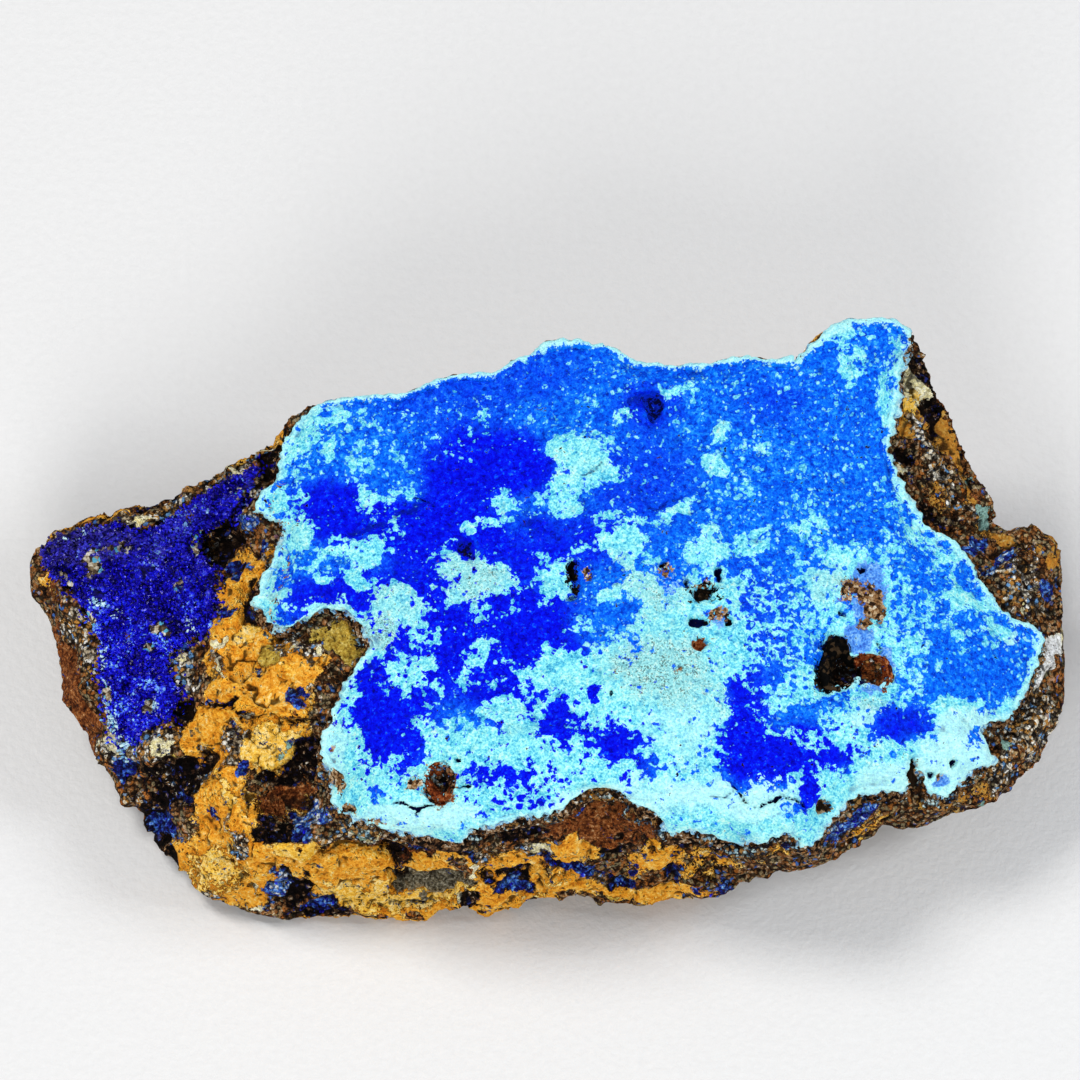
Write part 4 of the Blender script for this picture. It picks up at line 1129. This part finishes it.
speck_mask = (pinholes * 0.5 + blot * 0.25 + lace * 0.25 + speck_field * 0.3).steps(0.48, 0.72)
pale_colour = skin.mix(speck_mask * 0.8, pale_colour, (0.03, 0.08, 0.075))
rim_colour = skin.mix((dust * 0.5 + 0.5).steps(0.0, 1.0), (0.38, 0.84, 0.88), (0.66, 0.97, 0.95))
pale_colour = skin.mix(skin.field("rim") * 0.7, pale_colour, rim_colour)
wall_colour = skin.ramp(
    crystal_tone * 0.3 + dust * 0.3 + blot * 0.35 + 0.35,
    [(0, (0.02, 0.05, 0.22)), (0.3, (0.18, 0.42, 0.72)), (0.55, (0.44, 0.78, 0.86)),
     (1, (0.88, 0.97, 0.93))],
)
pale_colour = skin.mix(skin.field("depth").steps(0.3, 0.8), pale_colour, wall_colour)
# Ridges are lighter and creases darker, and a thin pale line runs round the edge of the face.
skin_hollow = skin.field("hollow")
ridge = (0 - skin_hollow).steps(0.3, 1.5)
pale_colour = skin.mix(ridge * 0.3, pale_colour, (0.55, 0.95, 0.97))
blue_colour = skin.mix(ridge * 0.35 * (1 - deep_level * 0.6), blue_colour, (0.0, 0.30, 0.97))
pale_line = (skin.field("edge") + dust * 0.25 + blot * 0.2).steps(0.30, 0.42)
blue_mask = blue_mask * (1 - pale_line * 0.85)
crust_colour = skin.mix(blue_mask, pale_colour, blue_colour)
crust_colour = skin.mix(skin_hollow.steps(0.15, 1.3) * 0.6, crust_colour, (0.001, 0.012, 0.22))
cornflower = skin.ramp(dust * 0.35 + blot * 0.3 + 0.5,
[(0, (0.01, 0.03, 0.4)), (0.5, (0.08, 0.3, 0.86)), (1, (0.38, 0.7, 0.92))])
bright_mask = (skin.field("bright_blue") + blot * 0.4 + dust * 0.2).steps(0.5, 0.6)
crust_colour = skin.mix(bright_mask, crust_colour, cornflower)
crumb_tint = skin.channel(skin.grains(0.34, "Color"), "Green")
crumb_colour = skin.ramp(
    crumb_tint * 0.75 + dust * 0.25 + 0.06,
    [(0, (0.002, 0.001, 0.001)), (0.25, (0.04, 0.018, 0.008)), (0.5, (0.24, 0.115, 0.04)),
     (0.75, (0.48, 0.34, 0.19)), (1, (0.75, 0.72, 0.6))],
)
dark_crumbs = skin.ramp(
    crumb_tint * 0.8 + dust * 0.3 + blot * 0.15,
    [(0, (0.001, 0.001, 0.001)), (0.3, (0.012, 0.006, 0.004)), (0.5, (0.09, 0.04, 0.016)),
     (0.72, (0.26, 0.14, 0.06)), (0.9, (0.5, 0.42, 0.3)), (1, (0.78, 0.82, 0.8))],
)
stain_mask = (skin.field("stain") + blot * 0.45 + dust * 0.3).steps(0.68, 0.76)
crust_colour = skin.mix(stain_mask, crust_colour, crumb_colour)
# Crumbs of the rock and dark grains cling to the broken edge.
edge_level = skin.field("depth") * 0.62 + lace * 0.4 + mottle * 0.2 + blot * 0.2 + dust * 0.15
crust_colour = skin.mix(edge_level.steps(0.52, 0.60), crust_colour, dark_crumbs)
pit_mask = (skin.field("pits") + blot * 0.3 + dust * 0.2).steps(0.45, 0.6)
stained = (skin.field("stain") + blot * 0.3).steps(0.3, 0.4)
pit_colour = skin.mix(stained, (0.0, 0.001, 0.03), (0.010, 0.005, 0.002))
crust_colour = skin.mix(pit_mask, crust_colour, pit_colour)
rust_colour = skin.ramp(
    crumb_tint * 0.5 + dust * 0.3 + blot * 0.2 + 0.2,
    [(0, (0.004, 0.001, 0.001)), (0.3, (0.08, 0.012, 0.003)), (0.6, (0.26, 0.055, 0.012)),
     (1, (0.55, 0.26, 0.1))],
)
black_colour = skin.mix(crumb_tint.steps(0.7, 0.95), (0.001, 0.001, 0.001), (0.05, 0.03, 0.015))
for name, colour in (("rusty", rust_colour), ("black", black_colour)):
    level = skin.field(name) + mottle * 0.25 + blot * 0.5 + dust * 0.3
    crust_colour = skin.mix(level.steps(0.56, 0.64), crust_colour, colour)
skin.done(
    crust,
    Base_Color=crust_colour,
    Roughness=0.75 + dust * 0.05,
    Specular_IOR_Level=0.05,
    Normal=skin.bump(blot * 0.7 + dust * 0.45, 0.1),
)
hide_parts("gibbsite_crust")
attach(crust, "root")

# ---- The azurite crystals ----
# A field of small dark blue azurite crystals grown together at the left end, each a stubby blade with a
# chisel end, and a few scattered clusters of them in the rock's cracks.


def crystal(place, normal, length, width, depth, twist, lean):
    """Points and faces of one blade with a chisel end, its foot sunk in what it grows on."""
    axis = (normal + lean).normalized()
    side = axis.cross(twist).normalized()
    front = axis.cross(side)
    points = []
    for height, share in ((-0.35, 0.9), (0.62, 1.0)):
        middle = place + axis * height * length
        for x, y in ((-1, -1), (1, -1), (1, 1), (-1, 1)):
            points.append(middle + side * x * width * share / 2 + front * y * depth * share / 2)
    for x in (-0.8, 0.8):
        points.append(place + axis * length + side * x * width / 2)
    faces = [(3, 2, 1, 0), (0, 1, 5, 4), (1, 2, 6, 5), (2, 3, 7, 6), (3, 0, 4, 7)]
    faces += [(4, 5, 9, 8), (6, 7, 8, 9), (5, 6, 9), (7, 4, 8)]
    return points, faces


def grow(name, seats, sizes, draws):
    """One mesh of a crystal at each seat, a (place, normal), with a tone for each crystal."""
    points = []
    faces = []
    tones = []
    for (place, normal), size in zip(seats, sizes):
        length = size * draws.uniform(0.8, 1.5)
        width = size * draws.uniform(0.6, 1.1)
        depth = size * draws.uniform(0.3, 0.7)
        twist = Vector(draws.normal(size=3))
        lean = Vector(draws.normal(size=3)) * 0.45
        more, sides = crystal(place, normal, length, width, depth, twist, lean)
        first = len(points)
        points += more
        faces += [tuple(first + i for i in side) for side in sides]
        tones += [draws.uniform()] * len(more)
    mesh = bpy.data.meshes.new(name)
    mesh.from_pydata(np.clip(np.array(points) * MM, cad_box[0], cad_box[1]), [], faces)
    piece = bpy.data.objects.new(name, mesh)
    bpy.context.scene.collection.objects.link(piece)
    keep_field(piece, "tone", tones)
    return piece


draws = np.random.default_rng(seed=7)
druse = fine_copy("azurite_druse", "azurite_bed", voxel=0.24, passes=2, growth=0.1)
bed_points = points_of(druse.data) / MM
bed_normals = points_of(druse.data, "normal")
bed_places = wandering(drawn(bed_points), bed_points, reach=0.6, size=1.2, seed=61.0)
# Grains of other minerals stand clear of the crystals here and there.
bare = patches(bed_places, [
    (-49.6, 8.2, 1.2, 2.2, 1.2), (-43.7, 5.3, 0.9, 1.5, 1), (-41.2, 6.5, 1.6, 0.7, 10, 1),
    (-38.2, -8.8, 0.9, 0.7, 1), (-37, -1.4, 1.1, 0.8, 0.8), (-46.3, 3.4, 1.4, 0.5, -40, 0.9),
    (-43.8, -0.5, 0.7, 1.2, 0.9), (-38.2, -3, 0.7, 0.7, 0.8), (-42.3, -7.6, 0.5, 1.4, 0.8),
    (-33.6, 7, 0.8, 1.6, 0.7), (-39.4, 1.4, 0.6, 0.4, 0.6), (-40.6, -12.6, 0.6, 1, 0.7),
    (-35.4, 3, 0.6, 0.8, 0.5), (-29.2, 11.4, 1, 1.2, 0.8), (-34, -4.4, 0.8, 1.2, 0.6),
    (-44.6, -3.2, 0.5, 1, 0.6),
])
rim_line = [(-46.2, 8.6), (-42.6, 10), (-38.6, 9.9), (-35.6, 11.2), (-32, 13.4), (-28.4, 16.4), (-26.6, 18.6)]
bare += strokes(bed_places, [(1.1, 0.9, rim_line)])
druse_up = np.array(Vector((-0.15, -0.5, 0.85)).normalized())
keep = (bed_normals @ druse_up > 0.3) & (bare + 0.9 * rough(bed_points, 1.3, 2, 65.0) < 0.55)
bed_tops = np.flatnonzero(keep)
bed_crystals = 11500
chosen = draws.choice(bed_tops, bed_crystals)
nudges = draws.uniform(-0.12, 0.12, (len(chosen), 3))
seats = [(Vector(bed_points[i] + nudge), Vector(bed_normals[i])) for i, nudge in zip(chosen, nudges)]
crystals = grow("azurite_crystals", seats, draws.uniform(0.12, 0.32, len(seats)), draws)
# More of them sit in the rock's blue patches and straggle away from the field's border.
druse_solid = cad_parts["azurite_druse"].data
druse_tree = tree_of([v.co / MM for v in druse_solid.vertices], druse_solid.polygons)
straggle = distance_to(druse_tree, rock_points)
likely = 0.1 * seen * np.clip(azure - 0.6, 0, 1)
likely += np.exp(-((straggle / 0.8) ** 2)) * (rock_normals @ druse_up > 0)
likely *= ~covered * np.clip(1 - strokes(rock_places, [(1.2, 1.3, rim_line)]), 0, 1)
rock_crystals = 2200
chosen = draws.choice(len(rock_points), rock_crystals, replace=False, p=likely / likely.sum())
seats = [(Vector(carved_rock[i]), Vector(rock_normals[i])) for i in chosen]
specks_piece = grow("azurite_specks", seats, draws.uniform(0.15, 0.36, len(seats)), draws)
# The lower part is brighter, and some crystals there and along the left border are cloudy and nearly white.
for piece in (crystals, specks_piece):
    crystal_points = points_of(piece.data) / MM
    crystal_places = drawn(crystal_points)
    keep_field(piece, "low", np.clip((3.0 - crystal_places[:, 1]) / 9.0, 0, 1))
    frost = patches(crystal_places, [
        (-43.3, 1.4, 0.9, 0.5, -30, 0.9), (-41.4, 0.3, 0.8, 0.5, 0.8), (-42.3, -7.6, 0.5, 1.6, 0.9),
        (-41.8, -10.4, 0.6, 1.4, 1), (-40.6, -13.2, 0.9, 1.8, 10, 1), (-38, -8.6, 0.7, 0.7, 1),
        (-45, 7.8, 3, 0.7, 12, 0.35), (-34.4, -1, 1.2, 0.8, 0.4), (-42.6, -4, 0.5, 1.6, 0.6),
        (-30.4, 1.2, 1, 0.8, 0.6),
    ])
    keep_field(piece, "frost", np.clip(frost, 0, 1))
    dusty = patches(crystal_places, [(-45.4, 6.8, 4.4, 2.2, 12, 0.9), (-41.6, 6.8, 3, 1.4, 10, 0.7)])
    keep_field(piece, "dusty", np.clip(dusty, 0, 1))

blades = Finish("azurite_blades")
tone = blades.field("tone")
shade = blades.clouds(3.5, 2.0, 0.5)
drifts = blades.clouds(0.9, 3.0, 0.6)
glow = blades.clouds(0.3, 2.0, 0.5)
blade_colour = blades.ramp(
    tone * 0.5 + shade * 0.30 + drifts * 0.34 + glow * 0.08 + blades.field("low") * 0.14 + 0.27,
    [(0, (0, 0, 0.006)), (0.22, (0.002, 0.001, 0.07)), (0.5, (0.008, 0.003, 0.4)),
     (0.78, (0.008, 0.01, 0.84)), (0.94, (0.05, 0.1, 0.93)), (1, (0.25, 0.55, 0.95))],
)
greyed = (shade * 0.8 + drifts * 0.5 + blades.field("dusty") - blades.field("low") * 2.0).steps(-0.1, 0.9)
blade_colour = blades.mix(greyed * 0.42, blade_colour, (0.07, 0.055, 0.19))
frosted = (blades.field("frost") + tone * 0.9 - 0.45 + drifts * 0.3).steps(0.62, 0.72)
blade_colour = blades.mix(frosted, blade_colour, blades.ramp(tone,
[(0, (0.05, 0.3, 0.6)), (1, (0.62, 0.86, 0.88))]))
for piece in (crystals, specks_piece):
    blades.done(
        piece, Base_Color=blade_colour, Roughness=0.24, Specular_IOR_Level=0.3, Normal=blades.bump(glow, 0.01)
    )
    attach(piece, "root")

bed = Finish("azurite_bed_grains")
bed_noise = bed.clouds(0.5, 3.0, 0.65)
bed_chances = bed.grains(0.42, "Color")
bed_lightness = bed.channel(bed_chances, "Red")
bed_warmth = bed.channel(bed_chances, "Green")
bed_blue = bed.ramp(
    bed_noise * 0.4 + bed_lightness * 0.4 + 0.2,
    [(0, (0.001, 0.001, 0.006)), (0.4, (0.004, 0.003, 0.1)), (0.8, (0.01, 0.008, 0.4)),
     (1, (0.02, 0.04, 0.7))],
)
bed_grain = bed.ramp(
    bed_lightness * 0.8 + bed_noise * 0.2 + 0.1,
    [(0, (0.004, 0.003, 0.003)), (0.4, (0.05, 0.03, 0.02)), (0.6, (0.26, 0.19, 0.1)),
     (0.85, (0.7, 0.66, 0.54)), (1, (0.92, 0.92, 0.86))],
)
bed_grain = bed.mix(bed_warmth.steps(0.80, 0.85), bed_grain, (0.10, 0.42, 0.62))
bare_mask = (bed.field("bare") + bed_noise * 0.25).steps(0.42, 0.55)
bed.done(
    druse,
    Base_Color=bed.mix(bare_mask, bed_blue, bed_grain),
    Roughness=0.7,
    Specular_IOR_Level=0.1,
    Normal=bed.bump(bed_noise, 0.12),
)
keep_field(druse, "bare", bare)
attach(druse, "root")
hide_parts("azurite_druse")
